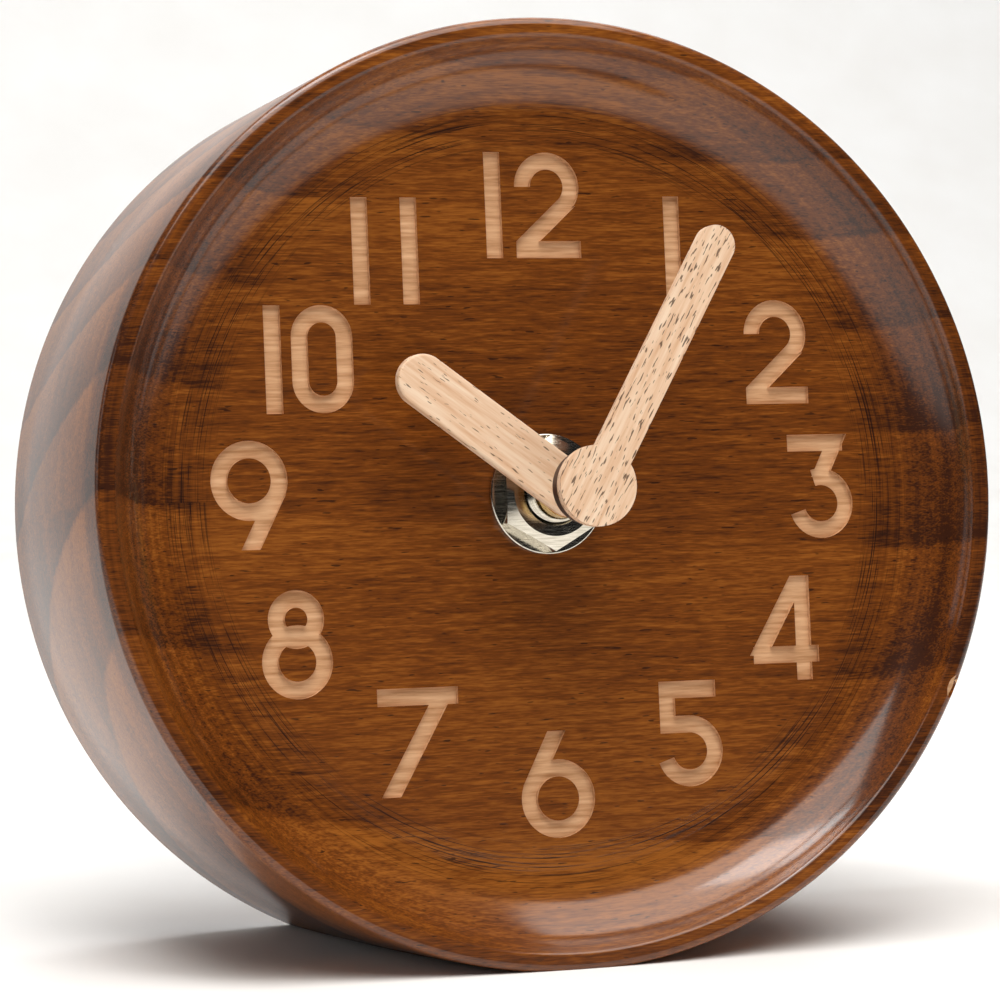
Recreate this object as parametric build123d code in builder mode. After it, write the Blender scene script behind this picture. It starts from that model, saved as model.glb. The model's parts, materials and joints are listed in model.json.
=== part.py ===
from build123d import *
import math
import os

# Wooden desk clock: a turned block of wood, dished at the front and hollow at the back,
# with a battery quartz movement, two wooden hands and engraved numerals.
# Millimetres. The clock stands on the XY plane, +Z is up and the dial looks towards -Y.
# The origin is the middle of the flat that it rests on.
# Heights along the spindle are measured forward from the back face of the wood.

os.makedirs("parts", exist_ok=True)

# Wooden case
rim_radius = 63.5
case_depth = 47.0
lean = 6.5  # degrees that the dial leans back
base_bite = 0.3  # depth of the resting flat at the front edge
front_round = 1.0
rear_chamfer = 1.0
rim_land = 1.5
dish_depth = 6.5
cove_width = 10.5  # from the dial's edge to the rim's flat land
dial_wall = 4.0
pocket_clearance = 2.4  # around the corners of the movement
pocket_chamfer = 1.0

# Engraved numerals
numeral_height = 14.3
numeral_stroke = 2.3
numeral_margin = 11.5  # from the ring of numerals to the dial's edge
groove_depth = 0.7
zero_width = 8.5
two_bowl_radius = 4.65
two_foot_inset = 0.6
bowl_radius = 4.8  # of the three and the five
flat_top_width = 8.3
hook_start = -162.0  # degrees where the hook of the three and the five ends
three_hook_end = 107.0
four_width = 9.8
four_tail = 2.4
four_overhang = 1.1
six_bowl_radius = 5.25
six_slope = 27.5
seven_width = 11.3
eight_top_radius = 3.85
eight_bowl_radius = 4.85

# Movement case
movement_wall = 1.5
movement_corner = 3.0
bay_wall = 1.2
bay_clearance = 0.3  # around the cell
leaf_space = 2.1  # between the cell and the wall that holds its spring contact
cover_gap = 0.1
gasket_thickness = 1.0
gasket_radius = 9.0

# Bush, nut and washer that clamp the movement to the dial
bush_radius = 4.0
bush_flange_radius = 5.5
bush_flange = 1.2
bush_stand = 5.4  # height above the dial
bush_chamfer = 0.4
bush_clearance = 0.3
washer_radius = 8.1
washer_thickness = 0.8
nut_across_flats = 13.5
nut_thickness = 2.8
nut_edge_chamfer = 0.6

# Hands
hand_thickness = 1.4
hour_hand_width = 7.0
hour_hand_reach = 29.2
hour_hand_height = 9.6  # front face above the dial
hour_hand_angle = 306.5  # degrees clockwise from 12
minute_hand_width = 5.3
minute_hand_reach = 38.8
minute_hub_radius = 5.3
minute_hand_height = 19.4
minute_hand_angle = 30.0
hand_edge = 0.25  # bevel of the front edges
hour_collet_radius = 3.6
hour_collet_length = 2.0
minute_boss_radius = 4.9
minute_boss_length = 3.0

# Running fits and seats
running_clearance = 0.06
end_play = 0.2
seat_gap = 0.1

# Arbors
hour_pipe_radius = 2.5
hour_pipe_bore = 1.72
minute_arbor_radius = hour_pipe_bore - running_clearance
minute_tip_radius = 1.4
minute_seat_radius = 1.2
bush_bore = hour_pipe_radius + running_clearance
arbor_radius = 0.6
pivot_radius = 0.4
pivot_length = 0.9
stem_radius = 1.25

# Wheels: teeth, modules and thickness
motion_module = 0.5
cannon_teeth = 10
motion_wheel_teeth = 30
motion_pinion_teeth = 8
hour_wheel_teeth = 32
motion_thickness = 1.2
drive_module = 0.22
drive_wheel_teeth = 64
pinion_teeth = 8
third_wheel_teeth = 60
seconds_module = 0.34
seconds_wheel_teeth = 40
rotor_module = 0.25
fifth_wheel_teeth = 48
train_thickness = 0.8
layer_gap = 0.4

# Tooth form, as shares of the module (heights) and of the tooth pitch (widths)
wheel_tooth_shares = {"addendum": 0.95, "root": 0.58, "tip": 0.16}
pinion_tooth_shares = {"addendum": 0.80, "root": 0.44, "tip": 0.16}
dedendum_share = 1.2

# Bearings of the arbors, degrees anticlockwise from 3 o'clock, seen from the front
motion_bearing = 150.0
third_bearing = 20.0
fifth_bearing = 90.0
rotor_bearing = 60.0

# Plates, posts, stator and coil
plate_thickness = 1.0
plate_top = 17.0  # upper edge of the middle plate above the spindle
plate_margin = 6.0  # plate outside the outermost arbors
clutch_spring_radius = 2.4
clutch_spring_thickness = 0.3
magnet_radius = 2.5
magnet_length = 1.8
rotor_shell = 0.35
stator_thickness = 0.6
stator_gap = 0.5
stator_half_height = 3.5
stator_half_length = 13.5
coil_height = 21.7  # coil axis above the spindle
core_thickness = 1.0
core_width = 4.0
bobbin_wall = 0.7
bobbin_flange = 1.0
bobbin_rim = 0.4  # how far the flanges stand above the winding
coil_radius = 3.4
post_radius = 1.8
pin_radius = 0.9

# Circuit board and what it carries
board_width = 10.0
board_height = 22.0
board_thickness = 0.8
board_stand = 2.0
board_low = -5.5  # lower edge, relative to the spindle
board_gap = 0.5  # from the case wall
chip_radius = 3.0
chip_height = 1.2
crystal_radius = 1.0
crystal_length = 6.2

# Battery and its contacts
battery_radius = 7.1
battery_length = 49.2
battery_button_radius = 2.75
battery_button_length = 1.3
contact_thickness = 0.4
contact_width = 8.0
strip_width = 2.4
contact_tail = 1.5  # length of a strip over the board
contact_spacing = 4.5
notch_width = 1.2
battery_edge = 0.5

# Setting knob
knob_radius = 4.8
knob_length = 4.0
knob_gap = 0.3
knob_face = 1.0
knob_flutes = 18
flute_width = 0.8

# The movement case is as large as its cell and contacts need
bay_height = 2 * battery_radius + bay_clearance
movement_depth = movement_wall + bay_height
bay_length = battery_length + battery_button_length + contact_thickness + leaf_space
movement_side = bay_length + 2 * movement_wall

# Radii of the turned block and of what is cut into it
lip_radius = rim_radius - front_round - rim_land
dial_radius = lip_radius - cove_width
numeral_ring = dial_radius - numeral_margin
pocket_radius = movement_side / math.sqrt(2) + pocket_clearance

# Heights along the spindle
dial_level = case_depth - dish_depth
pocket_level = dial_level - dial_wall
movement_front = pocket_level - gasket_thickness
movement_back = movement_front - movement_depth
inner_front = movement_front - movement_wall
inner_back = movement_back + movement_wall
bush_top = dial_level + bush_stand
nut_level = dial_level + washer_thickness
hour_hand_front = dial_level + hour_hand_height
minute_hand_front = dial_level + minute_hand_height

# The layers of wheels, from the front of the movement to the back
hour_wheel_low = inner_front - bush_flange - end_play - motion_thickness
cannon_low = hour_wheel_low - end_play - motion_thickness
plate_front = cannon_low - end_play
plate_back = plate_front - plate_thickness
drive_low = plate_back - end_play - clutch_spring_thickness - train_thickness
third_low = drive_low - layer_gap - train_thickness
seconds_low = third_low - layer_gap - train_thickness
fifth_low = seconds_low - layer_gap - train_thickness
magnet_low = fifth_low + train_thickness + layer_gap
stator_low = magnet_low + (magnet_length - stator_thickness) / 2 - end_play
core_low = stator_low + stator_thickness
core_level = core_low + core_thickness / 2
strip_low = inner_back + board_stand + board_thickness

# Centre distances and the places of the arbors
motion_distance = motion_module * (cannon_teeth + motion_wheel_teeth) / 2
third_distance = drive_module * (drive_wheel_teeth + pinion_teeth) / 2
third_module = 2 * third_distance / (third_wheel_teeth + pinion_teeth)
fifth_distance = seconds_module * (seconds_wheel_teeth + pinion_teeth) / 2
rotor_distance = rotor_module * (fifth_wheel_teeth + pinion_teeth) / 2


def step_from(place, distance, bearing):
    angle = math.radians(bearing)
    return (place[0] + distance * math.cos(angle), place[1] + distance * math.sin(angle))


spindle_place = (0.0, 0.0)
motion_place = step_from(spindle_place, motion_distance, motion_bearing)
third_place = step_from(spindle_place, third_distance, third_bearing)
fifth_place = step_from(spindle_place, fifth_distance, fifth_bearing)
rotor_place = step_from(fifth_place, rotor_distance, rotor_bearing)

# The back face of the wood, leaning so that the resting flat lies on the XY plane
lean_angle = math.radians(lean)
rear_height = rim_radius * math.cos(lean_angle) - case_depth * math.sin(lean_angle) - base_bite
front_of_flat = -case_depth * math.cos(lean_angle) - rim_radius * math.sin(lean_angle)
rear_of_flat = -rear_height * math.tan(lean_angle)
rear = Plane(
    origin=(0, -(front_of_flat + rear_of_flat) / 2, rear_height),
    x_dir=(1, 0, 0),
    z_dir=(0, -math.cos(lean_angle), math.sin(lean_angle)),
)


def section_through(place):
    """Plane through an arbor: local x is the radius to the right, local y the height."""
    origin = rear.from_local_coords((place[0], place[1], 0))
    return Plane(origin=origin, x_dir=rear.x_dir, z_dir=-rear.y_dir)


def arbor_axis(place):
    return Axis(rear.from_local_coords((place[0], place[1], 0)), rear.z_dir)


spindle = arbor_axis(spindle_place)


def stepped_arbor(place, steps):
    """A turned arbor from its steps: radius, low end and high end."""
    with BuildPart() as arbor:
        for radius, low, high in steps:
            with BuildSketch(rear.offset(low)):
                with Locations(place):
                    Circle(radius)
            extrude(amount=high - low)
    return arbor.part


def toothed_outline(teeth, module, shares, phase):
    """Outline of a wheel or pinion with one tooth at the phase, in degrees."""
    pitch_radius = module * teeth / 2
    addendum = shares["addendum"] * module
    root_radius = pitch_radius - dedendum_share * module
    half_pitch = math.pi / teeth
    flank = [
        (root_radius - addendum / 4, shares["root"]),
        (root_radius, shares["root"]),
        (pitch_radius + addendum, shares["tip"]),
    ]
    right = [(r * math.cos(s * half_pitch), -r * math.sin(s * half_pitch)) for r, s in flank]
    left = [(x, -y) for x, y in reversed(right)]
    with BuildSketch() as outline:
        Circle(root_radius)
        with PolarLocations(0, teeth, start_angle=phase):
            Polygon(*right, *left, align=None)
    return outline.sketch


def meshed_phase(phase, teeth, bearing, other_teeth):
    """Phase of a wheel that lies at the bearing from one whose phase is known."""
    turns = (bearing - phase) * teeth / 360
    return bearing + 180 - (0.5 - turns) * 360 / other_teeth


# Numerals, drawn from bars, rings and arcs around the middle of their height
def bar(width, height, x=0.0, y=0.0):
    with BuildSketch() as shape:
        with Locations((x, y)):
            Rectangle(width, height)
    return shape.sketch


def slanted_bar(start, end, low, high):
    """A stroke along the line from start to end, cut level at low and high."""
    run = Vector(*end) - Vector(*start)
    slope = run.X / run.Y
    half = numeral_stroke / 2 * run.length / abs(run.Y)
    x_low = start[0] + (low - start[1]) * slope
    x_high = start[0] + (high - start[1]) * slope
    with BuildSketch() as shape:
        Polygon((x_low - half, low), (x_low + half, low), (x_high + half, high),
                (x_high - half, high), align=None)
    return shape.sketch


def ring_arc(radius, x, y, start=0.0, sweep=360.0):
    """Part of a ring of the stroke's width, from its outer radius."""
    with BuildSketch() as shape:
        with Locations((x, y)):
            Circle(radius)
            Circle(radius - numeral_stroke, mode=Mode.SUBTRACT)
        if sweep < 360:
            reach = 2 * radius
            steps = [start + sweep * i / 6 for i in range(7)]
            rim = [(x + reach * math.cos(math.radians(a)), y + reach * math.sin(math.radians(a)))
                   for a in steps]
            Polygon((x, y), *rim, align=None, mode=Mode.INTERSECT)
    return shape.sketch


def joined(*shapes):
    with BuildSketch() as shape:
        for piece in shapes:
            add(piece)
    return shape.sketch


half_height = numeral_height / 2
half_stroke = numeral_stroke / 2


def tangent_end(centre_y, radius, point):
    """Angle where a line from the point touches a circle on the numeral's middle line."""
    across, down = point[0], point[1] - centre_y
    reach = math.hypot(across, down)
    return math.degrees(math.atan2(down, across) + math.acos(radius / reach))


def numeral_zero():
    with BuildSketch() as shape:
        SlotOverall(numeral_height, zero_width, rotation=90)
        SlotOverall(numeral_height - 2 * numeral_stroke, zero_width - 2 * numeral_stroke,
                    rotation=90, mode=Mode.SUBTRACT)
    return shape.sketch


def numeral_one():
    return bar(numeral_stroke, numeral_height)


def numeral_two():
    bowl_y = half_height - two_bowl_radius
    line_radius = two_bowl_radius - half_stroke
    foot = (-line_radius + two_foot_inset, numeral_stroke - half_height)
    end = tangent_end(bowl_y, line_radius, foot)
    touch = (line_radius * math.cos(math.radians(end)),
             bowl_y + line_radius * math.sin(math.radians(end)))
    return joined(
        ring_arc(two_bowl_radius, 0, bowl_y, end, 180 - end),
        slanted_bar(foot, touch, half_stroke - half_height, touch[1]),
        bar(2 * two_bowl_radius, numeral_stroke, 0, half_stroke - half_height),
    )


def numeral_three():
    bowl_y = bowl_radius - half_height
    corner = flat_top_width / 2 - half_stroke
    return joined(
        bar(flat_top_width, numeral_stroke, -half_stroke / 2, half_height - half_stroke),
        slanted_bar((0, bowl_y + bowl_radius - half_stroke), (corner, half_height),
                    bowl_y + bowl_radius - half_stroke, half_height),
        ring_arc(bowl_radius, 0, bowl_y, hook_start, three_hook_end - hook_start),
    )


def numeral_four():
    bar_top = four_tail + numeral_stroke - half_height
    stem_x = four_width / 2 - four_overhang - half_stroke
    lean_half = half_stroke * math.hypot(four_width / 2 + stem_x, half_height - bar_top)
    lean_half /= half_height - bar_top
    foot = (lean_half - four_width / 2, bar_top)
    head = (stem_x + half_stroke - lean_half, half_height)
    return joined(
        bar(four_width, numeral_stroke, 0, bar_top - half_stroke),
        bar(numeral_stroke, numeral_height, stem_x),
        slanted_bar(foot, head, bar_top - half_stroke, half_height),
    )


def numeral_five():
    bowl_y = bowl_radius - half_height
    stem_left = numeral_stroke / 4 - bowl_radius
    shelf = bowl_y + bowl_radius - half_stroke
    return joined(
        bar(flat_top_width, numeral_stroke, stem_left + flat_top_width / 2,
            half_height - half_stroke),
        bar(numeral_stroke, half_height - shelf + half_stroke, stem_left + half_stroke,
            (half_height + shelf - half_stroke) / 2),
        bar(-stem_left, numeral_stroke, stem_left / 2, shelf),
        ring_arc(bowl_radius, 0, bowl_y, hook_start, 90 - hook_start),
    )


def numeral_six():
    bowl_y = six_bowl_radius - half_height
    line_radius = six_bowl_radius - half_stroke
    slope = math.radians(six_slope)
    touch = (-line_radius * math.cos(slope), bowl_y + line_radius * math.sin(slope))
    rise = half_height - touch[1]
    return joined(
        ring_arc(six_bowl_radius, 0, bowl_y),
        slanted_bar(touch, (touch[0] + rise * math.tan(slope), half_height),
                    touch[1], half_height),
    )


def numeral_seven():
    corner = seven_width / 2 - half_stroke * math.hypot(seven_width, numeral_height) / numeral_height
    return joined(
        bar(seven_width, numeral_stroke, 0, half_height - half_stroke),
        slanted_bar((-corner, -half_height), (corner, half_height), -half_height, half_height),
    )


def numeral_eight():
    return joined(
        ring_arc(eight_top_radius, 0, half_height - eight_top_radius),
        ring_arc(eight_bowl_radius, 0, eight_bowl_radius - half_height),
    )


def numeral_nine():
    return numeral_six().rotate(Axis.Z, 180)


# Each figure with the place of its middle on the dial, as shares of the numeral ring
numeral_places_shares = [
    (numeral_one, -0.149, 1.000), (numeral_two, 0.050, 1.000),
    (numeral_one, 0.513, 0.849),
    (numeral_two, 0.890, 0.483),
    (numeral_three, 1.040, 0.005),
    (numeral_four, 0.880, -0.492),
    (numeral_five, 0.497, -0.845),
    (numeral_six, 0.000, -0.997),
    (numeral_seven, -0.495, -0.830),
    (numeral_eight, -0.915, -0.485),
    (numeral_nine, -1.060, 0.020),
    (numeral_one, -0.960, 0.475), (numeral_zero, -0.786, 0.475),
    (numeral_one, -0.636, 0.842), (numeral_one, -0.459, 0.842),
]

# The turned block: dish and rim at the front, pocket at the back, flat underneath
with BuildPart() as wood_case:
    with BuildSketch(section_through(spindle_place)) as turned_section:
        with BuildLine():
            rim = Polyline((0, dial_level), (0, 0), (rim_radius, 0), (rim_radius, case_depth),
                           (lip_radius, case_depth))
            cove = TangentArc((dial_radius, dial_level), rim @ 1, tangent=(1, 0))
            Line(cove @ 0, rim @ 0)
        make_face()
        rim_corners = turned_section.vertices().filter_by_position(Axis.X, rim_radius, rim_radius)
        chamfer(rim_corners.sort_by(Axis.Y)[0], rear_chamfer)
        rim_corners = turned_section.vertices().filter_by_position(Axis.X, rim_radius, rim_radius)
        fillet(rim_corners.sort_by(Axis.Y)[-1], front_round)
    revolve(axis=spindle)
    with BuildSketch(rear):
        Circle(pocket_radius)
    extrude(amount=pocket_level, mode=Mode.SUBTRACT)
    with BuildSketch(rear):
        Circle(pocket_radius + pocket_chamfer)
    extrude(amount=pocket_chamfer, taper=45, mode=Mode.SUBTRACT)
    with BuildSketch(rear.offset(pocket_level)):
        Circle(bush_radius + bush_clearance)
    extrude(amount=dial_wall, mode=Mode.SUBTRACT)
    for figure, x_share, y_share in numeral_places_shares:
        with BuildSketch(rear.offset(dial_level)):
            with Locations((numeral_ring * x_share, numeral_ring * y_share)):
                add(figure())
        extrude(amount=-groove_depth, mode=Mode.SUBTRACT)
    split(bisect_by=Plane.XY, keep=Keep.TOP)
wood_case.part.label = "wood_case"
export_step(wood_case.part, "parts/wood_case.step")

# The movement case: a tray with the works above and the battery bay below
chamber_half = movement_side / 2 - movement_wall
bay_top = bay_height - chamber_half
works_low = bay_top + bay_wall
works_height = chamber_half - works_low
works_middle = (chamber_half + works_low) / 2
bay_middle = bay_top - bay_height / 2
plate_low = works_low + seat_gap
plate_left = motion_place[0] - plate_margin
plate_right = third_place[0] + plate_margin + post_radius
plate_posts = [
    (x, y)
    for x in (plate_left + post_radius, plate_right - post_radius)
    for y in (plate_low + post_radius, plate_top - post_radius)
]
cover_posts = [
    (x, y)
    for x in (post_radius + seat_gap - chamber_half, chamber_half - post_radius - seat_gap)
    for y in (works_low + post_radius + 2 * contact_thickness, chamber_half - post_radius - seat_gap)
]
with BuildPart() as movement_case:
    with BuildSketch(rear.offset(movement_back)):
        RectangleRounded(movement_side, movement_side, movement_corner)
    extrude(amount=movement_depth)
    with BuildSketch(rear.offset(movement_back)):
        with Locations((0, works_middle)):
            Rectangle(2 * chamber_half, works_height)
        with Locations((0, bay_middle)):
            Rectangle(2 * chamber_half, bay_height)
    extrude(amount=movement_depth - movement_wall, mode=Mode.SUBTRACT)
    with BuildSketch(rear.offset(plate_front)):
        with Locations(*plate_posts):
            Circle(post_radius)
    extrude(amount=inner_front - plate_front)
    with BuildSketch(rear.offset(inner_back)):
        with Locations(*cover_posts):
            Circle(post_radius)
    extrude(amount=inner_front - inner_back)
    with BuildSketch(rear.offset(strip_low)):
        for side in (-1, 1):
            with Locations((side * (chamber_half - notch_width / 2), works_low - bay_wall / 2)):
                Rectangle(notch_width, bay_wall + 2 * seat_gap)
    extrude(amount=strip_width, mode=Mode.SUBTRACT)
    with BuildSketch(rear.offset(inner_front)):
        Circle(bush_radius + seat_gap)
    extrude(amount=movement_wall, mode=Mode.SUBTRACT)
    with BuildSketch(rear.offset(inner_front)):
        with Locations(motion_place):
            Circle(pivot_radius + running_clearance)
    extrude(amount=pivot_length + end_play / 2, mode=Mode.SUBTRACT)
movement_case.part.label = "movement_case"
export_step(movement_case.part, "parts/movement_case.step")

# The cover closes the works and carries the rear bearings, the stator and the board
stator_post_x = stator_half_length - core_width / 2
stator_posts = [(rotor_place[0] + side * stator_post_x, coil_height) for side in (-1, 1)]
board_left = -chamber_half + board_gap
board_middle = (board_left + board_width / 2, board_low + board_height / 2)
board_posts = [(board_middle[0], board_middle[1] + side * board_height / 3) for side in (-1, 1)]
with BuildPart() as movement_cover:
    with BuildSketch(rear.offset(movement_back)):
        with Locations((0, works_middle)):
            Rectangle(2 * (chamber_half - cover_gap), works_height - 2 * cover_gap)
    extrude(amount=movement_wall)
    with BuildSketch(rear.offset(inner_back)):
        with Locations(*stator_posts):
            Circle(post_radius)
    extrude(amount=stator_low - inner_back)
    with BuildSketch(rear.offset(stator_low)):
        with Locations(*stator_posts):
            Circle(pin_radius)
    extrude(amount=stator_thickness + core_thickness)
    with BuildSketch(rear.offset(inner_back)):
        with Locations(*board_posts):
            Circle(post_radius)
    extrude(amount=board_stand)
    with BuildSketch(rear.offset(inner_back)):
        with Locations(spindle_place, third_place, fifth_place, rotor_place):
            Circle(pivot_radius + running_clearance)
    extrude(amount=-(pivot_length + end_play / 2), mode=Mode.SUBTRACT)
    with BuildSketch(rear.offset(movement_back)):
        with Locations(motion_place):
            Circle(stem_radius + running_clearance)
    extrude(amount=movement_wall, mode=Mode.SUBTRACT)
movement_cover.part.label = "movement_cover"
export_step(movement_cover.part, "parts/movement_cover.step")

# The middle plate carries the front bearings of the train
with BuildPart() as middle_plate:
    with BuildSketch(rear.offset(plate_back)):
        with Locations(((plate_left + plate_right) / 2, (plate_low + plate_top) / 2)):
            RectangleRounded(plate_right - plate_left, plate_top - plate_low, post_radius)
        with Locations(spindle_place):
            Circle(minute_arbor_radius + running_clearance, mode=Mode.SUBTRACT)
        with Locations(motion_place):
            Circle(stem_radius + running_clearance, mode=Mode.SUBTRACT)
        with Locations(third_place, fifth_place, rotor_place):
            Circle(pivot_radius + running_clearance, mode=Mode.SUBTRACT)
    extrude(amount=plate_thickness)
middle_plate.part.label = "middle_plate"
export_step(middle_plate.part, "parts/middle_plate.step")

# Bush, gasket, washer and nut
with BuildPart() as threaded_bush:
    with BuildSketch(rear.offset(inner_front - bush_flange)):
        Circle(bush_flange_radius)
    extrude(amount=bush_flange)
    with BuildSketch(rear.offset(inner_front)):
        Circle(bush_radius)
    extrude(amount=bush_top - inner_front)
    chamfer(threaded_bush.faces().sort_by(spindle)[-1].edges(), bush_chamfer)
    with BuildSketch(rear.offset(inner_front - bush_flange)):
        Circle(bush_bore)
    extrude(amount=bush_top - inner_front + bush_flange, mode=Mode.SUBTRACT)
threaded_bush.part.label = "threaded_bush"
export_step(threaded_bush.part, "parts/threaded_bush.step")

with BuildPart() as gasket:
    with BuildSketch(rear.offset(movement_front)):
        Circle(gasket_radius)
        Circle(bush_radius + bush_clearance, mode=Mode.SUBTRACT)
    extrude(amount=gasket_thickness)
gasket.part.label = "gasket"
export_step(gasket.part, "parts/gasket.step")

with BuildPart() as washer:
    with BuildSketch(rear.offset(dial_level)):
        Circle(washer_radius)
        Circle(bush_radius + seat_gap, mode=Mode.SUBTRACT)
    extrude(amount=washer_thickness)
washer.part.label = "washer"
export_step(washer.part, "parts/washer.step")

with BuildPart() as nut_blank:
    with BuildSketch(rear.offset(nut_level)):
        Circle(nut_across_flats / 2 / math.cos(math.pi / 6))
    extrude(amount=nut_thickness)
    chamfer(nut_blank.faces().sort_by(spindle)[-1].edges(), nut_edge_chamfer)

with BuildPart() as hex_nut:
    with BuildSketch(rear.offset(nut_level)):
        RegularPolygon(nut_across_flats / 2, 6, major_radius=False, rotation=30)
    extrude(amount=nut_thickness)
    add(nut_blank.part, mode=Mode.INTERSECT)
    with BuildSketch(rear.offset(nut_level)):
        Circle(bush_radius + running_clearance)
    extrude(amount=nut_thickness, mode=Mode.SUBTRACT)
hex_nut.part.label = "hex_nut"
export_step(hex_nut.part, "parts/hex_nut.step")


def hand_plane(level, angle):
    """Plane of a hand whose local y points along it, from an angle clockwise from 12."""
    turn = math.radians(angle)
    across_hand = rear.x_dir * math.cos(turn) - rear.y_dir * math.sin(turn)
    return Plane(origin=rear.offset(level).origin, x_dir=across_hand, z_dir=rear.z_dir)


def hand_outline(width, reach, hub_radius):
    """A round-ended bar, with a round hub over the spindle."""
    length = reach + width / 2
    with BuildSketch() as outline:
        with Locations((0, reach - length / 2)):
            SlotOverall(length, width, rotation=90)
        Circle(hub_radius)
    return outline.sketch


def wooden_hand(outline, front, angle):
    """A hand cut from sheet, with its front edges eased."""
    with BuildPart() as hand:
        with BuildSketch(hand_plane(front - hand_thickness, angle)):
            add(outline)
        extrude(amount=hand_thickness - hand_edge)
        with BuildSketch(hand_plane(front - hand_edge, angle)):
            add(outline)
        extrude(amount=hand_edge, taper=45)
    return hand.part


# Hour hand, on the pipe of its wheel
hour_hand_back = hour_hand_front - hand_thickness
with BuildPart() as hour_hand:
    add(wooden_hand(hand_outline(hour_hand_width, hour_hand_reach, hour_hand_width / 2),
                    hour_hand_front, hour_hand_angle))
    with BuildSketch(rear.offset(hour_hand_back)):
        Circle(hour_pipe_radius)
    extrude(amount=hand_thickness, mode=Mode.SUBTRACT)
hour_hand.part.label = "hour_hand"
export_step(hour_hand.part, "parts/hour_hand.step")

with BuildPart() as hour_hand_collet:
    with BuildSketch(rear.offset(hour_hand_back - hour_collet_length)):
        Circle(hour_collet_radius)
        Circle(hour_pipe_radius, mode=Mode.SUBTRACT)
    extrude(amount=hour_collet_length)
hour_hand_collet.part.label = "hour_hand_collet"
export_step(hour_hand_collet.part, "parts/hour_hand_collet.step")

# Minute hand, on a round boss
minute_hand_back = minute_hand_front - hand_thickness
minute_boss_back = minute_hand_back - minute_boss_length
with BuildPart() as minute_hand:
    add(wooden_hand(hand_outline(minute_hand_width, minute_hand_reach, minute_hub_radius),
                    minute_hand_front, minute_hand_angle))
minute_hand.part.label = "minute_hand"
export_step(minute_hand.part, "parts/minute_hand.step")

with BuildPart() as minute_hand_boss:
    with BuildSketch(rear.offset(minute_boss_back)):
        Circle(minute_boss_radius)
        Circle(minute_tip_radius, mode=Mode.SUBTRACT)
    extrude(amount=minute_boss_length)
minute_hand_boss.part.label = "minute_hand_boss"
export_step(minute_hand_boss.part, "parts/minute_hand_boss.step")


def toothed_piece(place, steps, gears):
    """An arbor with its wheels and pinions: outline, low face and thickness of each."""
    with BuildPart() as piece:
        add(stepped_arbor(place, steps))
        for outline, low, thickness in gears:
            with BuildSketch(rear.offset(low)):
                with Locations(place):
                    add(outline)
            extrude(amount=thickness)
    return piece.part


# The minute arbor with its cannon pinion, and the spring of its slipping clutch
arbor_low = drive_low - end_play
clutch_low = drive_low + train_thickness + running_clearance
arbor_shoulder = clutch_low + clutch_spring_thickness
with BuildPart() as minute_arbor:
    add(toothed_piece(
        spindle_place,
        [(minute_seat_radius, arbor_low, arbor_shoulder),
         (minute_arbor_radius, arbor_shoulder, minute_boss_back),
         (minute_tip_radius, minute_boss_back, minute_hand_back)],
        [(toothed_outline(cannon_teeth, motion_module, pinion_tooth_shares, 0),
          cannon_low, motion_thickness)],
    ))
    with BuildSketch(rear.offset(arbor_low)):
        Circle(pivot_radius + running_clearance)
    extrude(amount=pivot_length + end_play / 2, mode=Mode.SUBTRACT)
minute_arbor.part.label = "minute_arbor"
export_step(minute_arbor.part, "parts/minute_arbor.step")

with BuildPart() as clutch_spring:
    with BuildSketch(rear.offset(clutch_low)):
        Circle(clutch_spring_radius)
        Circle(minute_seat_radius, mode=Mode.SUBTRACT)
    extrude(amount=clutch_spring_thickness)
clutch_spring.part.label = "clutch_spring"
export_step(clutch_spring.part, "parts/clutch_spring.step")

# Motion work: the cannon turns the motion wheel, whose pinion turns the hour wheel
motion_phase = meshed_phase(0, cannon_teeth, motion_bearing, motion_wheel_teeth)
hour_phase = meshed_phase(0, motion_pinion_teeth, motion_bearing + 180, hour_wheel_teeth)
knob_low = movement_back - knob_gap - knob_length
stem_low = knob_low + knob_face
with BuildPart() as motion_wheel:
    add(toothed_piece(
        motion_place,
        [(stem_radius, stem_low, inner_front - end_play / 2),
         (pivot_radius, inner_front - end_play / 2, inner_front + pivot_length)],
        [(toothed_outline(motion_wheel_teeth, motion_module, wheel_tooth_shares, motion_phase),
          cannon_low, motion_thickness),
         (toothed_outline(motion_pinion_teeth, motion_module, pinion_tooth_shares, 0),
          cannon_low + motion_thickness, hour_wheel_low - cannon_low)],
    ))
motion_wheel.part.label = "motion_wheel"
export_step(motion_wheel.part, "parts/motion_wheel.step")

with BuildPart() as hour_wheel:
    add(toothed_piece(
        spindle_place,
        [(hour_pipe_radius, hour_wheel_low, hour_hand_front)],
        [(toothed_outline(hour_wheel_teeth, motion_module, wheel_tooth_shares, hour_phase),
          hour_wheel_low, motion_thickness)],
    ))
    with BuildSketch(rear.offset(hour_wheel_low)):
        Circle(hour_pipe_bore)
    extrude(amount=hour_hand_front - hour_wheel_low, mode=Mode.SUBTRACT)
hour_wheel.part.label = "hour_wheel"
export_step(hour_wheel.part, "parts/hour_wheel.step")

with BuildPart() as setting_knob:
    with BuildSketch(rear.offset(knob_low)):
        with Locations(motion_place):
            Circle(knob_radius)
            with PolarLocations(knob_radius, knob_flutes):
                Rectangle(flute_width, flute_width, rotation=45, mode=Mode.SUBTRACT)
    extrude(amount=knob_length)
    with BuildSketch(rear.offset(stem_low)):
        with Locations(motion_place):
            Circle(stem_radius)
    extrude(amount=knob_length - knob_face, mode=Mode.SUBTRACT)
setting_knob.part.label = "setting_knob"
export_step(setting_knob.part, "parts/setting_knob.step")

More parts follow.
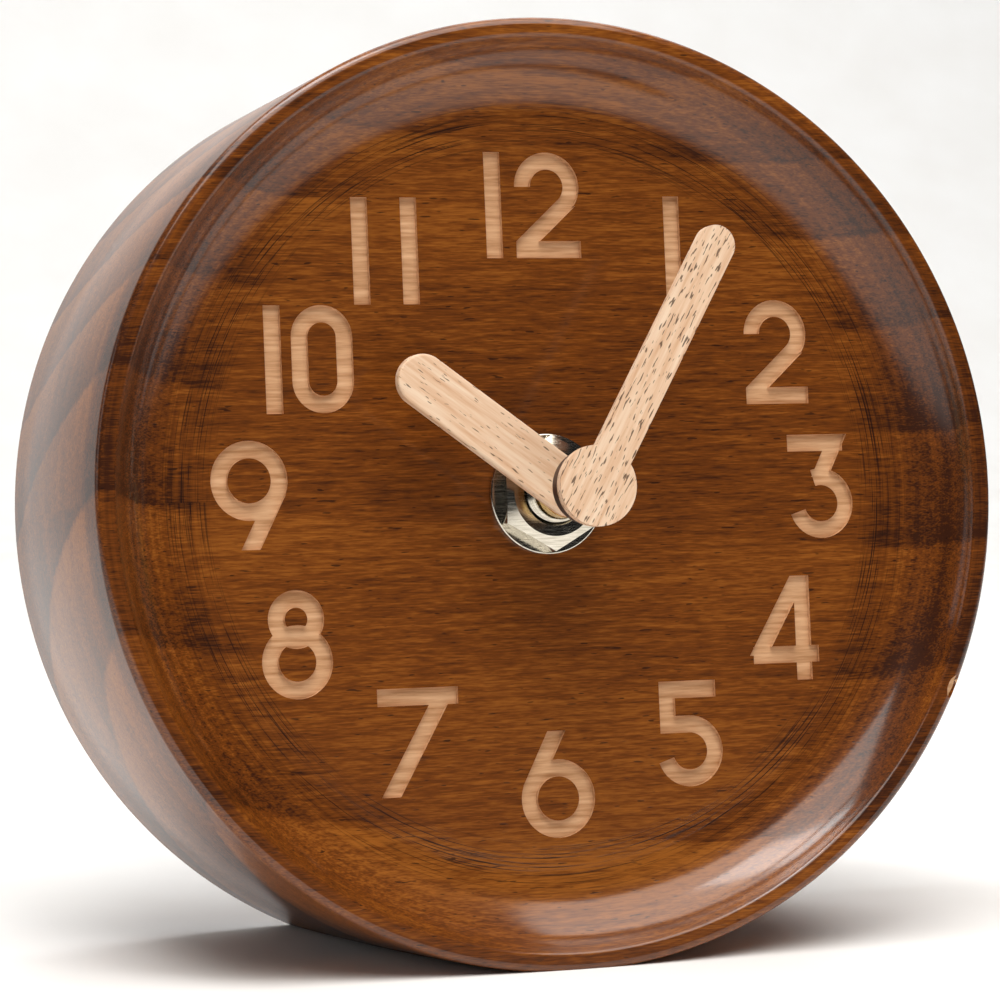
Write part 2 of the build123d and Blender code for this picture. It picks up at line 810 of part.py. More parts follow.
# The going train, from the rotor to the wheel that drives the minute arbor
train_steps = [
    (pivot_radius, inner_back - pivot_length, plate_back + pivot_length),
    (arbor_radius, inner_back + end_play / 2, plate_back - end_play / 2),
]
fifth_phase = meshed_phase(0, pinion_teeth, rotor_bearing + 180, fifth_wheel_teeth)
seconds_phase = meshed_phase(0, pinion_teeth, fifth_bearing + 180, seconds_wheel_teeth)
third_phase = meshed_phase(0, pinion_teeth, third_bearing, third_wheel_teeth)
drive_phase = meshed_phase(0, pinion_teeth, third_bearing + 180, drive_wheel_teeth)

with BuildPart() as drive_wheel:
    with BuildSketch(rear.offset(drive_low)):
        add(toothed_outline(drive_wheel_teeth, drive_module, wheel_tooth_shares, drive_phase))
        Circle(minute_seat_radius + running_clearance, mode=Mode.SUBTRACT)
    extrude(amount=train_thickness)
drive_wheel.part.label = "drive_wheel"
export_step(drive_wheel.part, "parts/drive_wheel.step")

with BuildPart() as third_wheel:
    add(toothed_piece(
        third_place, train_steps,
        [(toothed_outline(third_wheel_teeth, third_module, wheel_tooth_shares, third_phase),
          third_low, train_thickness),
         (toothed_outline(pinion_teeth, drive_module, pinion_tooth_shares, 0),
          third_low + train_thickness, drive_low - third_low)],
    ))
third_wheel.part.label = "third_wheel"
export_step(third_wheel.part, "parts/third_wheel.step")

with BuildPart() as seconds_wheel:
    add(toothed_piece(
        spindle_place,
        [(pivot_radius, inner_back - pivot_length, arbor_low + pivot_length),
         (arbor_radius, inner_back + end_play / 2, arbor_low - end_play)],
        [(toothed_outline(seconds_wheel_teeth, seconds_module, wheel_tooth_shares, seconds_phase),
          seconds_low, train_thickness),
         (toothed_outline(pinion_teeth, third_module, pinion_tooth_shares, 0),
          seconds_low + train_thickness, third_low - seconds_low)],
    ))
seconds_wheel.part.label = "seconds_wheel"
export_step(seconds_wheel.part, "parts/seconds_wheel.step")

with BuildPart() as fifth_wheel:
    add(toothed_piece(
        fifth_place, train_steps,
        [(toothed_outline(fifth_wheel_teeth, rotor_module, wheel_tooth_shares, fifth_phase),
          fifth_low, train_thickness),
         (toothed_outline(pinion_teeth, seconds_module, pinion_tooth_shares, 0),
          fifth_low + train_thickness, seconds_low - fifth_low)],
    ))
fifth_wheel.part.label = "fifth_wheel"
export_step(fifth_wheel.part, "parts/fifth_wheel.step")

magnet_bore = arbor_radius + rotor_shell
with BuildPart() as rotor:
    add(toothed_piece(
        rotor_place,
        train_steps + [(magnet_bore, magnet_low, magnet_low + magnet_length)],
        [(toothed_outline(pinion_teeth, rotor_module, pinion_tooth_shares, 0),
          fifth_low, train_thickness)],
    ))
rotor.part.label = "rotor"
export_step(rotor.part, "parts/rotor.step")

with BuildPart() as rotor_magnet:
    with BuildSketch(rear.offset(magnet_low)):
        with Locations(rotor_place):
            Circle(magnet_radius)
            Circle(magnet_bore, mode=Mode.SUBTRACT)
    extrude(amount=magnet_length)
rotor_magnet.part.label = "rotor_magnet"
export_step(rotor_magnet.part, "parts/rotor_magnet.step")

# Stator, coil core, bobbin and winding
with BuildPart() as stator:
    with BuildSketch(rear.offset(stator_low)):
        with Locations(rotor_place):
            Rectangle(2 * stator_half_length, 2 * stator_half_height)
        leg_top = coil_height + core_width / 2
        leg_foot = rotor_place[1]
        with Locations(*[(x, (leg_top + leg_foot) / 2) for x, y in stator_posts]):
            Rectangle(core_width, leg_top - leg_foot)
        with Locations(rotor_place):
            Circle(magnet_radius + stator_gap, mode=Mode.SUBTRACT)
        with Locations(*stator_posts):
            Circle(pin_radius, mode=Mode.SUBTRACT)
    extrude(amount=stator_thickness)
stator.part.label = "stator"
export_step(stator.part, "parts/stator.step")

with BuildPart() as coil_core:
    with BuildSketch(rear.offset(core_low)):
        with Locations((rotor_place[0], coil_height)):
            Rectangle(2 * stator_half_length, core_width)
        with Locations(*stator_posts):
            Circle(pin_radius, mode=Mode.SUBTRACT)
    extrude(amount=core_thickness)
coil_core.part.label = "coil_core"
export_step(coil_core.part, "parts/coil_core.step")


def across(x, y, level):
    """Plane square to the 3 o'clock direction, with local x towards 12 o'clock."""
    return Plane(origin=rear.from_local_coords((x, y, level)), x_dir=rear.y_dir, z_dir=rear.x_dir)


bobbin_half = stator_half_length - core_width - seat_gap
bobbin_radius = core_width / 2 + bobbin_wall
bobbin_left = rotor_place[0] - bobbin_half
winding_length = 2 * (bobbin_half - bobbin_flange)
with BuildPart() as coil_bobbin:
    with BuildSketch(across(bobbin_left, coil_height, core_level)):
        Circle(bobbin_radius)
    extrude(amount=2 * bobbin_half)
    for start in (bobbin_left, bobbin_left + 2 * bobbin_half - bobbin_flange):
        with BuildSketch(across(start, coil_height, core_level)):
            Circle(coil_radius + bobbin_rim)
        extrude(amount=bobbin_flange)
    with BuildSketch(across(bobbin_left, coil_height, core_level)):
        Rectangle(core_width, core_thickness)
    extrude(amount=2 * bobbin_half, mode=Mode.SUBTRACT)
coil_bobbin.part.label = "coil_bobbin"
export_step(coil_bobbin.part, "parts/coil_bobbin.step")

with BuildPart() as coil_winding:
    with BuildSketch(across(bobbin_left + bobbin_flange, coil_height, core_level)):
        Circle(coil_radius)
        Circle(bobbin_radius, mode=Mode.SUBTRACT)
    extrude(amount=winding_length)
coil_winding.part.label = "coil_winding"
export_step(coil_winding.part, "parts/coil_winding.step")

# Circuit board with its chip and its quartz crystal
board_back = inner_back + board_stand
board_front = board_back + board_thickness
with BuildPart() as circuit_board:
    with BuildSketch(rear.offset(board_back)):
        with Locations(board_middle):
            Rectangle(board_width, board_height)
    extrude(amount=board_thickness)
circuit_board.part.label = "circuit_board"
export_step(circuit_board.part, "parts/circuit_board.step")

chip_place = (board_middle[0], board_middle[1] + board_height / 4)
with BuildPart() as clock_chip:
    with BuildSketch(rear.offset(board_front)):
        with Locations(chip_place):
            Circle(chip_radius)
    extrude(amount=chip_height, taper=45)
clock_chip.part.label = "clock_chip"
export_step(clock_chip.part, "parts/clock_chip.step")

crystal_left = board_middle[0] - crystal_length / 2
with BuildPart() as quartz_crystal:
    with BuildSketch(across(crystal_left, board_middle[1], board_front + crystal_radius)):
        Circle(crystal_radius)
    extrude(amount=crystal_length)
quartz_crystal.part.label = "quartz_crystal"
export_step(quartz_crystal.part, "parts/quartz_crystal.step")

# Battery in its bay
battery_level = inner_front - battery_radius - seat_gap
button_end = chamber_half - contact_thickness
can_right = button_end - battery_button_length
with BuildPart() as battery:
    with BuildSketch(across(can_right - battery_length, bay_middle, battery_level)):
        Circle(battery_radius)
    extrude(amount=battery_length)
    ends = battery.faces().filter_by(GeomType.PLANE)
    chamfer(ends.edges(), battery_edge)
    with BuildSketch(across(can_right, bay_middle, battery_level)):
        Circle(battery_button_radius)
    extrude(amount=battery_button_length)
battery.part.label = "battery"
export_step(battery.part, "parts/battery.step")

# Contacts: a plate or a bent leaf in the bay, and a strip from it to the board
half_contact = contact_thickness / 2
run_y = works_low + seat_gap + half_contact
end_x = chamber_half - half_contact
plate_end = bay_middle - contact_width / 2
plus_route = [(end_x, plate_end), (end_x, run_y), (board_left + board_width - seat_gap, run_y),
              (board_left + board_width - seat_gap, board_low + contact_tail)]
minus_x = plus_route[-1][0] - contact_spacing
minus_route = [(-end_x, plate_end), (-end_x, run_y), (minus_x, run_y),
               (minus_x, board_low + contact_tail)]
leaf_touch = can_right - battery_length - half_contact
leaf_route = [(-end_x, plate_end), (leaf_touch, bay_middle),
              ((leaf_touch - end_x) / 2, bay_middle + contact_width / 2)]


def strip_outline(route):
    """A bent strip seen on edge: its middle line given the metal's thickness."""
    with BuildSketch() as outline:
        with BuildLine() as path:
            Polyline(*route)
        for edge in path.edges():
            middle = edge @ 0.5
            slope = math.degrees(math.atan2((edge % 0).Y, (edge % 0).X))
            with Locations(Location((middle.X, middle.Y, 0), slope)):
                Rectangle(edge.length, contact_thickness)
        with Locations(*route):
            Circle(half_contact)
    return outline.sketch


def contact(routes):
    """A contact: its first run is as wide as the bay's plate, the rest is a strip."""
    with BuildPart() as piece:
        for route, low, width in routes:
            with BuildSketch(rear.offset(low)):
                add(strip_outline(route))
            extrude(amount=width)
    return piece.part


plate_low_level = battery_level - contact_width / 2
with BuildPart() as plus_contact:
    add(contact([
        ([(end_x, plate_end), (end_x, plate_end + contact_width)], plate_low_level, contact_width),
        (plus_route, strip_low, strip_width),
    ]))
plus_contact.part.label = "plus_contact"
export_step(plus_contact.part, "parts/plus_contact.step")

with BuildPart() as minus_contact:
    add(contact([
        (leaf_route, plate_low_level, contact_width),
        (minus_route, strip_low, strip_width),
    ]))
minus_contact.part.label = "minus_contact"
export_step(minus_contact.part, "parts/minus_contact.step")
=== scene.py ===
import bmesh
import bpy
import json
import math
from mathutils import Matrix, Vector


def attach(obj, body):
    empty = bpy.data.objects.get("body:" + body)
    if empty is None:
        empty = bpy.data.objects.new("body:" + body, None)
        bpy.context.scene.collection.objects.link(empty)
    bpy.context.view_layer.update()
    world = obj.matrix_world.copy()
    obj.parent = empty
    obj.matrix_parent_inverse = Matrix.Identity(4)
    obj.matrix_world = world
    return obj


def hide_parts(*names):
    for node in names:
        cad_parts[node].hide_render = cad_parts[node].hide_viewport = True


# Wooden desk clock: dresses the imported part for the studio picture.
# Sizes in this file are millimetres in the clock's own frame, unless a note says otherwise:
# x to the right, y to 12 o'clock, z forward from the back face of the wood.

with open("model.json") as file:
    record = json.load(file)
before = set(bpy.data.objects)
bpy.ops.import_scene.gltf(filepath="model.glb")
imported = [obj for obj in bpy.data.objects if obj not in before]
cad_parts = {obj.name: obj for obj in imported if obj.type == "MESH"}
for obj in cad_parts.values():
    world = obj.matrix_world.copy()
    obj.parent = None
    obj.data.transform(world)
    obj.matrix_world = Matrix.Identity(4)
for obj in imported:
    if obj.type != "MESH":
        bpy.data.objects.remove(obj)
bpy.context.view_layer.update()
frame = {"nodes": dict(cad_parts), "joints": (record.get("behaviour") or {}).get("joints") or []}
nodes = frame["nodes"]
mm = 0.001

spindle = next(joint for joint in frame["joints"] if joint["name"] == "minute_turn")
spindlePoint = Vector(spindle["pos_m"])
forward = -Vector(spindle["axis"]).normalized()
upward = forward.cross(Vector((1, 0, 0)))
backLevel = min((v.co - spindlePoint).dot(forward) for v in nodes["wood_case"].data.vertices)
clockFrame = Matrix((Vector((1, 0, 0)), upward, forward)).transposed().to_4x4()
clockFrame.translation = spindlePoint + forward * backLevel
print("frame: spindle meets the back face at", [round(n, 5) for n in clockFrame.translation])


# Nodes and colours

def linear(hexColour):
    parts = [int(hexColour[i:i + 2], 16) / 255 for i in (0, 2, 4)]
    return tuple(p / 12.92 if p <= 0.04045 else ((p + 0.055) / 1.055) ** 2.4 for p in parts) + (1.0,)


def addNode(tree, kind, values=None, links=None, stops=None, **settings):
    node = tree.nodes.new(kind)
    for name, value in settings.items():
        setattr(node, name, value)
    for socket, value in (values or {}).items():
        node.inputs[socket].default_value = value
    for socket, source in (links or {}).items():
        tree.links.new(source, node.inputs[socket])
    if stops:
        ramp = node.color_ramp.elements
        while len(ramp) < len(stops):
            ramp.new(1.0)
        for element, (place, colour) in zip(ramp, stops):
            element.position = place
            element.color = linear(colour) if isinstance(colour, str) else (colour,) * 3 + (1.0,)
    return node


def startMaterial(name):
    material = bpy.data.materials.new(name)
    material.use_nodes = True
    material.node_tree.nodes.clear()
    return material, material.node_tree


def closeMaterial(tree, values, links):
    shader = addNode(tree, "ShaderNodeBsdfPrincipled", values=values, links=links)
    addNode(tree, "ShaderNodeOutputMaterial", links={"Surface": shader.outputs[0]})


noiseSpan = {1: 0.3, 2: 0.7}     # nearly all of a noise lies between these


def clockPoint(tree, frameOfPattern=clockFrame, stretch=None):
    # Object coordinates turned into a piece's own frame, in millimetres, then into grains
    inverse = frameOfPattern.inverted()
    objectPoint = addNode(tree, "ShaderNodeTexCoord").outputs["Object"]
    turned = addNode(tree, "ShaderNodeMapping", links={"Vector": objectPoint},
                     values={"Location": inverse.translation / mm, "Rotation": inverse.to_euler(),
                             "Scale": (1 / mm,) * 3})
    if stretch is None:
        return turned.outputs[0]
    return addNode(tree, "ShaderNodeVectorMath", operation="MULTIPLY", values={1: stretch},
                   links={0: turned.outputs[0]}).outputs[0]


# Stained pine under a clear gloss lacquer: growth rings cut across by the turning, darker just
# outside each sharp ring line, short dark resin canals, cloudy stain, tool marks and a wet look.
# A pattern is its stretch, detail and roughness. The stretch is in grains per mm along x, y and
# z, or for the turned ones per radian round the spindle and per mm of radius and level.
pine = {
    "heart": (0, 80, -62),       # added to a point to measure from the heart of the tree
    "slope": 0.07,               # the rings fall to the right
    "firstRing": 119.3, "firstWidth": 11.0, "widening": 0.135,   # rings grow wider towards the heart
    "ringOffset": 10.0,          # keeps the ring numbers above zero
    "swayBy": 5.0, "ragBy": 1.3,     # slow wander of the rings, raggedness of a line
    "patterns": {
        "sway": ((0.010, 0.025, 0.025), 1.0, 0.5),   # a ring wanders over some 40 mm
        "rag": ((0.06, 0.5, 0.5), 4.0, 0.5),         # and its line is ragged every 2 mm
        "grain": ((0.10, 1.5, 1.5), 4.0, 0.6),       # lines 0.7 mm apart and 10 mm long
        "fibre": ((0.45, 5.0, 5.0), 2.0, 0.5),       # really 0.04 mm, drawn 0.2 mm so that they show
        "cloud": ((0.012, 0.04, 0.04), 3.0, 0.5),    # the stain lies in clouds of 25 mm
        "fleck": ((0.42, 2.6, 2.6), 1.0, 0.5),       # canals really 0.15 mm, drawn 0.4 mm wide
    },
    "turnedPatterns": {
        "streak": ((1.6, 1.1, 0.2), 3.0, 0.6),       # stain wiped round in streaks 0.9 mm wide
        "mark": ((3.0, 4.2, 0.1), 3.0, 0.65),        # gouge lines really 0.05 mm, drawn 0.24 mm
    },
    "coveFrom": 45.0, "coveTo": 51.5,                # radius where the flat dial turns into cove
    "ringShade": [(0.0, 0.3), (0.05, 0.85), (0.45, 0.62), (0.8, 0.38), (1.0, 0.15)],
    "ringOnDial": 0.08, "ringOnCove": 0.38, "ringOnSide": 0.3, "sideFrom": 44.0, "sideTo": 36.0,
    # how much each pattern adds to the tone, and the level taken off to bring it to mid ramp
    "streakBy": 0.8, "grainBy": 0.85, "fibreBy": 1.0, "cloudBy": 0.75, "ringToneBy": 0.10,
    "middleTone": 1.33,
    # the darkening at 9 and 3 o'clock is partly end grain drinking more stain and partly painted shade on
    # the sideways-facing cove and rim
    "endStainAndShade": 0.34, "endFrom": 38.0, "endTo": 43.0,    # level where end grain starts to show
    "colours": [(0.05, "331402"), (0.5, "6c3709"), (0.95, "97581a")], "fleckColour": "190701",
    "fleckStops": [(0.70, 0.0), (0.75, 0.75)], "markStops": [(0.55, 0.0), (0.61, 0.9)],
    "markIn": (45.5, 48.8), "markOut": (56.0, 49.5),     # radius where the tool marks fade in and out
    "fleckDepth": 0.8, "bump": 0.12, "bumpDepth": 0.05,
    "roughness": 0.45, "specular": 0.12,
    "lacquer": 0.95, "sideLacquer": 0.5, "lacquerEdge": (63.1, 63.4),   # sprayed thinner on the side
    "lacquerRoughness": 0.13,
}


def stainedPine():
    material, tree = startMaterial("lacqueredStainedPine")
    point = clockPoint(tree)
    parts = addNode(tree, "ShaderNodeSeparateXYZ", links={0: point}).outputs
    flat = addNode(tree, "ShaderNodeVectorMath", operation="MULTIPLY", values={1: (1, 1, 0)},
                   links={0: point})
    radius = addNode(tree, "ShaderNodeVectorMath", operation="LENGTH",
                     links={0: flat.outputs[0]}).outputs["Value"]
    angle = addNode(tree, "ShaderNodeMath", operation="ARCTAN2",
                    links={0: parts["Y"], 1: parts["X"]}).outputs[0]
    turned = addNode(tree, "ShaderNodeCombineXYZ", links={"X": angle, "Y": radius, "Z": parts["Z"]})
    cove = addNode(tree, "ShaderNodeMapRange", interpolation_type="SMOOTHSTEP",
                   values={1: pine["coveFrom"], 2: pine["coveTo"]}, links={0: radius}).outputs[0]
    noise = {}
    for source, patterns in ((point, pine["patterns"]), (turned.outputs[0], pine["turnedPatterns"])):
        for name, (stretch, detail, roughness) in patterns.items():
            stretched = addNode(tree, "ShaderNodeMapping", values={"Scale": stretch},
                                links={"Vector": source})
            noise[name] = addNode(tree, "ShaderNodeTexNoise", links={"Vector": stretched.outputs[0]},
                                  values={"Scale": 1.0, "Detail": detail,
                                          "Roughness": roughness}).outputs[0]
    # rings: distance from the heart, swayed and ragged, then counted inwards
    tilted = addNode(tree, "ShaderNodeMath", operation="MULTIPLY_ADD", values={1: pine["slope"]},
                     links={0: parts["X"], 2: parts["Y"]})
    across = addNode(tree, "ShaderNodeCombineXYZ", links={"Y": tilted.outputs[0], "Z": parts["Z"]})
    fromHeart = addNode(tree, "ShaderNodeVectorMath", operation="ADD", values={1: pine["heart"]},
                        links={0: across.outputs[0]})
    reach = addNode(tree, "ShaderNodeVectorMath", operation="LENGTH", links={0: fromHeart.outputs[0]})
    swayed = addNode(tree, "ShaderNodeMath", operation="MULTIPLY_ADD", values={1: pine["swayBy"]},
                     links={0: noise["sway"], 2: reach.outputs["Value"]})
    ragged = addNode(tree, "ShaderNodeMath", operation="MULTIPLY_ADD", values={1: pine["ragBy"]},
                     links={0: noise["rag"], 2: swayed.outputs[0]})
    share = pine["widening"] / pine["firstWidth"]
    start = pine["firstRing"] + (pine["swayBy"] + pine["ragBy"]) / 2
    spread = addNode(tree, "ShaderNodeMath", operation="MULTIPLY_ADD",
                     values={1: -share, 2: 1 + share * start}, links={0: ragged.outputs[0]})
    logged = addNode(tree, "ShaderNodeMath", operation="LOGARITHM", values={1: math.e},
                     links={0: spread.outputs[0]})
    counted = addNode(tree, "ShaderNodeMath", operation="MULTIPLY_ADD",
                      values={1: 1 / pine["widening"], 2: pine["ringOffset"]},
                      links={0: logged.outputs[0]})
    ring = addNode(tree, "ShaderNodeMath", operation="FRACT", links={0: counted.outputs[0]})
    number = addNode(tree, "ShaderNodeMath", operation="FLOOR", links={0: counted.outputs[0]})
    noise["ringTone"] = addNode(tree, "ShaderNodeTexWhiteNoise", noise_dimensions="1D",
                                links={"W": number.outputs[0]}).outputs["Value"]
    ringShade = addNode(tree, "ShaderNodeValToRGB", links={"Fac": ring.outputs[0]},
                        stops=pine["ringShade"])
    ringStrength = addNode(tree, "ShaderNodeMapRange", links={0: cove},
                           values={3: pine["ringOnDial"], 4: pine["ringOnCove"]})
    sideStrength = addNode(tree, "ShaderNodeMapRange", links={0: parts["Z"]},
                           values={1: pine["sideFrom"], 2: pine["sideTo"], 3: 0.0, 4: pine["ringOnSide"]})
    outside = addNode(tree, "ShaderNodeMath", operation="MULTIPLY_ADD",
                      links={0: sideStrength.outputs[0], 1: cove, 2: ringStrength.outputs[0]})
    ringMiddle = addNode(tree, "ShaderNodeMath", operation="SUBTRACT", values={1: 0.5},
                         links={0: ringShade.outputs[0]})
    ringPart = addNode(tree, "ShaderNodeMath", operation="MULTIPLY_ADD", values={2: 0.5},
                       links={0: ringMiddle.outputs[0], 1: outside.outputs[0]})
    # tone: streaks only round the cove, then grain, fibres, clouds of stain and a tone for each ring
    streakMiddle = addNode(tree, "ShaderNodeMath", operation="MULTIPLY_ADD", links={0: noise["streak"]},
                           values={1: pine["streakBy"], 2: -pine["streakBy"] / 2})
    tone = addNode(tree, "ShaderNodeMath", operation="MULTIPLY_ADD", links={
        0: streakMiddle.outputs[0], 1: cove, 2: ringPart.outputs[0]}).outputs[0]
    for name in ("grain", "fibre", "cloud", "ringTone"):
        tone = addNode(tree, "ShaderNodeMath", operation="MULTIPLY_ADD",
                       values={1: pine[name + "By"]}, links={0: noise[name], 2: tone}).outputs[0]
    # end grain drinks more stain, plus painted shade where the cove faces sideways away from the lights:
    # the cove and rim come out darker at 9 and 3 o'clock
    sideways = addNode(tree, "ShaderNodeMath", operation="COSINE", links={0: angle})
    squared = addNode(tree, "ShaderNodeMath", operation="POWER", values={1: 2.0},
                      links={0: sideways.outputs[0]})
    ahead = addNode(tree, "ShaderNodeMapRange", interpolation_type="SMOOTHSTEP",
                    values={1: pine["endFrom"], 2: pine["endTo"]}, links={0: parts["Z"]})
    endAhead = addNode(tree, "ShaderNodeMath", operation="MULTIPLY",
                       links={0: squared.outputs[0], 1: ahead.outputs[0]})
    endGrainAndShade = addNode(tree, "ShaderNodeMath", operation="MULTIPLY",
                       links={0: endAhead.outputs[0], 1: cove})
    darkened = addNode(tree, "ShaderNodeMath", operation="MULTIPLY_ADD",
                       values={1: -pine["endStainAndShade"]}, links={0: endGrainAndShade.outputs[0], 2: tone})
    centred = addNode(tree, "ShaderNodeMath", operation="SUBTRACT", values={1: pine["middleTone"]},
                      links={0: darkened.outputs[0]})
    colour = addNode(tree, "ShaderNodeValToRGB", links={"Fac": centred.outputs[0]},
                     stops=pine["colours"])
    # resin canals and tool marks, both nearly black with stain
    fleckMask = addNode(tree, "ShaderNodeValToRGB", links={"Fac": noise["fleck"]},
                        stops=pine["fleckStops"])
    markLine = addNode(tree, "ShaderNodeValToRGB", links={"Fac": noise["mark"]},
                       stops=pine["markStops"])
    markIn, markOut = (addNode(tree, "ShaderNodeMapRange", interpolation_type="SMOOTHSTEP",
                               values={1: pine[key][0], 2: pine[key][1]}, links={0: radius})
                       for key in ("markIn", "markOut"))
    markBand = addNode(tree, "ShaderNodeMath", operation="MULTIPLY",
                       links={0: markIn.outputs[0], 1: markOut.outputs[0]})
    markMask = addNode(tree, "ShaderNodeMath", operation="MULTIPLY",
                       links={0: markLine.outputs[0], 1: markBand.outputs[0]})
    darkest = addNode(tree, "ShaderNodeMath", operation="MAXIMUM",
                      links={0: fleckMask.outputs[0], 1: markMask.outputs[0]})
    marked = addNode(tree, "ShaderNodeMix", data_type="RGBA", values={7: linear(pine["fleckColour"])},
                     links={0: darkest.outputs[0], 6: colour.outputs[0]})
    height = addNode(tree, "ShaderNodeMath", operation="MULTIPLY_ADD",
                     values={1: -pine["fleckDepth"]}, links={0: darkest.outputs[0], 2: noise["grain"]})
    bump = addNode(tree, "ShaderNodeBump", links={"Height": height.outputs[0]},
                   values={"Strength": pine["bump"], "Distance": pine["bumpDepth"] * mm})
    lacquer = addNode(tree, "ShaderNodeMapRange", links={0: radius},
                      values={1: pine["lacquerEdge"][0], 2: pine["lacquerEdge"][1],
                              3: pine["lacquer"], 4: pine["sideLacquer"]})
    closeMaterial(tree, {"Roughness": pine["roughness"], "Specular IOR Level": pine["specular"],
                         "Coat Roughness": pine["lacquerRoughness"]},
                  {"Base Color": marked.outputs[2], "Normal": bump.outputs[0],
                   "Coat Normal": bump.outputs[0], "Coat Weight": lacquer.outputs[0]})
    return material


# Beech, sanded and left bare: pale pink-brown with the many short dark dashes of its rays
beech = {
    "grain": (1.1, 0.07, 1.1), "grainDetail": 3.0, "fineness": 0.6,   # lines 0.9 mm apart, 14 mm long
    "dash": (3.4, 0.55, 3.4), "dashDetail": 1.0,     # rays 1.8 mm long, really 0.1 mm wide, drawn 0.3
    "colours": [(0.3, "cfa17c"), (0.5, "e2bf9f"), (0.7, "ecd2b7")],
    "dashColour": "4a2f18", "dashFade": 0.05, "dashDepth": 0.85,
    "bump": 0.3, "bumpDepth": 0.08, "roughness": 0.6,
}


def bareBeech(name, along, dashes):
    # along: the frame whose y runs along the hand; dashes: the higher, the fewer there are
    material, tree = startMaterial(name)
    grain = addNode(tree, "ShaderNodeTexNoise",
                    values={"Scale": 1.0, "Detail": beech["grainDetail"], "Roughness": beech["fineness"]},
                    links={"Vector": clockPoint(tree, along, beech["grain"])})
    colour = addNode(tree, "ShaderNodeValToRGB", links={"Fac": grain.outputs[0]},
                     stops=beech["colours"])
    dash = addNode(tree, "ShaderNodeTexNoise", values={"Scale": 1.0, "Detail": beech["dashDetail"]},
                   links={"Vector": clockPoint(tree, along, beech["dash"])})
    dashMask = addNode(tree, "ShaderNodeValToRGB", links={"Fac": dash.outputs[0]},
                       stops=[(dashes, 0.0), (dashes + beech["dashFade"], beech["dashDepth"])])
    dashed = addNode(tree, "ShaderNodeMix", data_type="RGBA", values={7: linear(beech["dashColour"])},
                     links={0: dashMask.outputs[0], 6: colour.outputs[0]})
    bump = addNode(tree, "ShaderNodeBump", links={"Height": grain.outputs[0]},
                   values={"Strength": beech["bump"], "Distance": beech["bumpDepth"] * mm})
    closeMaterial(tree, {"Roughness": beech["roughness"]},
                  {"Base Color": dashed.outputs[2], "Normal": bump.outputs[0]})
    return material


# Battery in a printed jacket: graphite with a pale band at the plus end, bare metal at both ends.
# The bands are shares of its length from the minus end.
battery = {
    "bands": [(0.0, "b9b7b0"), (0.014, "24272c"), (0.78, "b7bcc2"), (0.96, "b9b7b0")],
    "metal": [(0.0, 1.0), (0.014, 0.0), (0.96, 1.0)],
    "wear": (0.5, 2.0, 2.0), "wearDetail": 3.0,      # rubbed spots 0.5 mm by 2 mm
    "wearBy": 0.35, "rough": (0.26, 0.42),
}


def jacketedBattery():
    material, tree = startMaterial("printedBatteryJacket")
    reach = [(clockFrame.inverted() @ vert.co).x / mm for vert in nodes["battery"].data.vertices]
    parts = addNode(tree, "ShaderNodeSeparateXYZ", links={0: clockPoint(tree)})
    share = addNode(tree, "ShaderNodeMapRange", values={1: min(reach), 2: max(reach)},
                    links={0: parts.outputs["X"]})
    bands, metal = (addNode(tree, "ShaderNodeValToRGB", links={"Fac": share.outputs[0]},
                            stops=battery[key]) for key in ("bands", "metal"))
    for ramp in (bands, metal):
        ramp.color_ramp.interpolation = "CONSTANT"
    wear = addNode(tree, "ShaderNodeTexNoise", values={"Scale": 1.0, "Detail": battery["wearDetail"]},
                   links={"Vector": clockPoint(tree, stretch=battery["wear"])})
    printed = addNode(tree, "ShaderNodeMix", data_type="RGBA", blend_type="MULTIPLY",
                      values={0: battery["wearBy"]}, links={6: bands.outputs[0], 7: wear.outputs[1]})
    rough = addNode(tree, "ShaderNodeMapRange", links={0: wear.outputs[0]},
                    values={**noiseSpan, 3: battery["rough"][0], 4: battery["rough"][1]})
    closeMaterial(tree, {}, {"Base Color": printed.outputs[2], "Metallic": metal.outputs[0],
                             "Roughness": rough.outputs[0]})
    return material


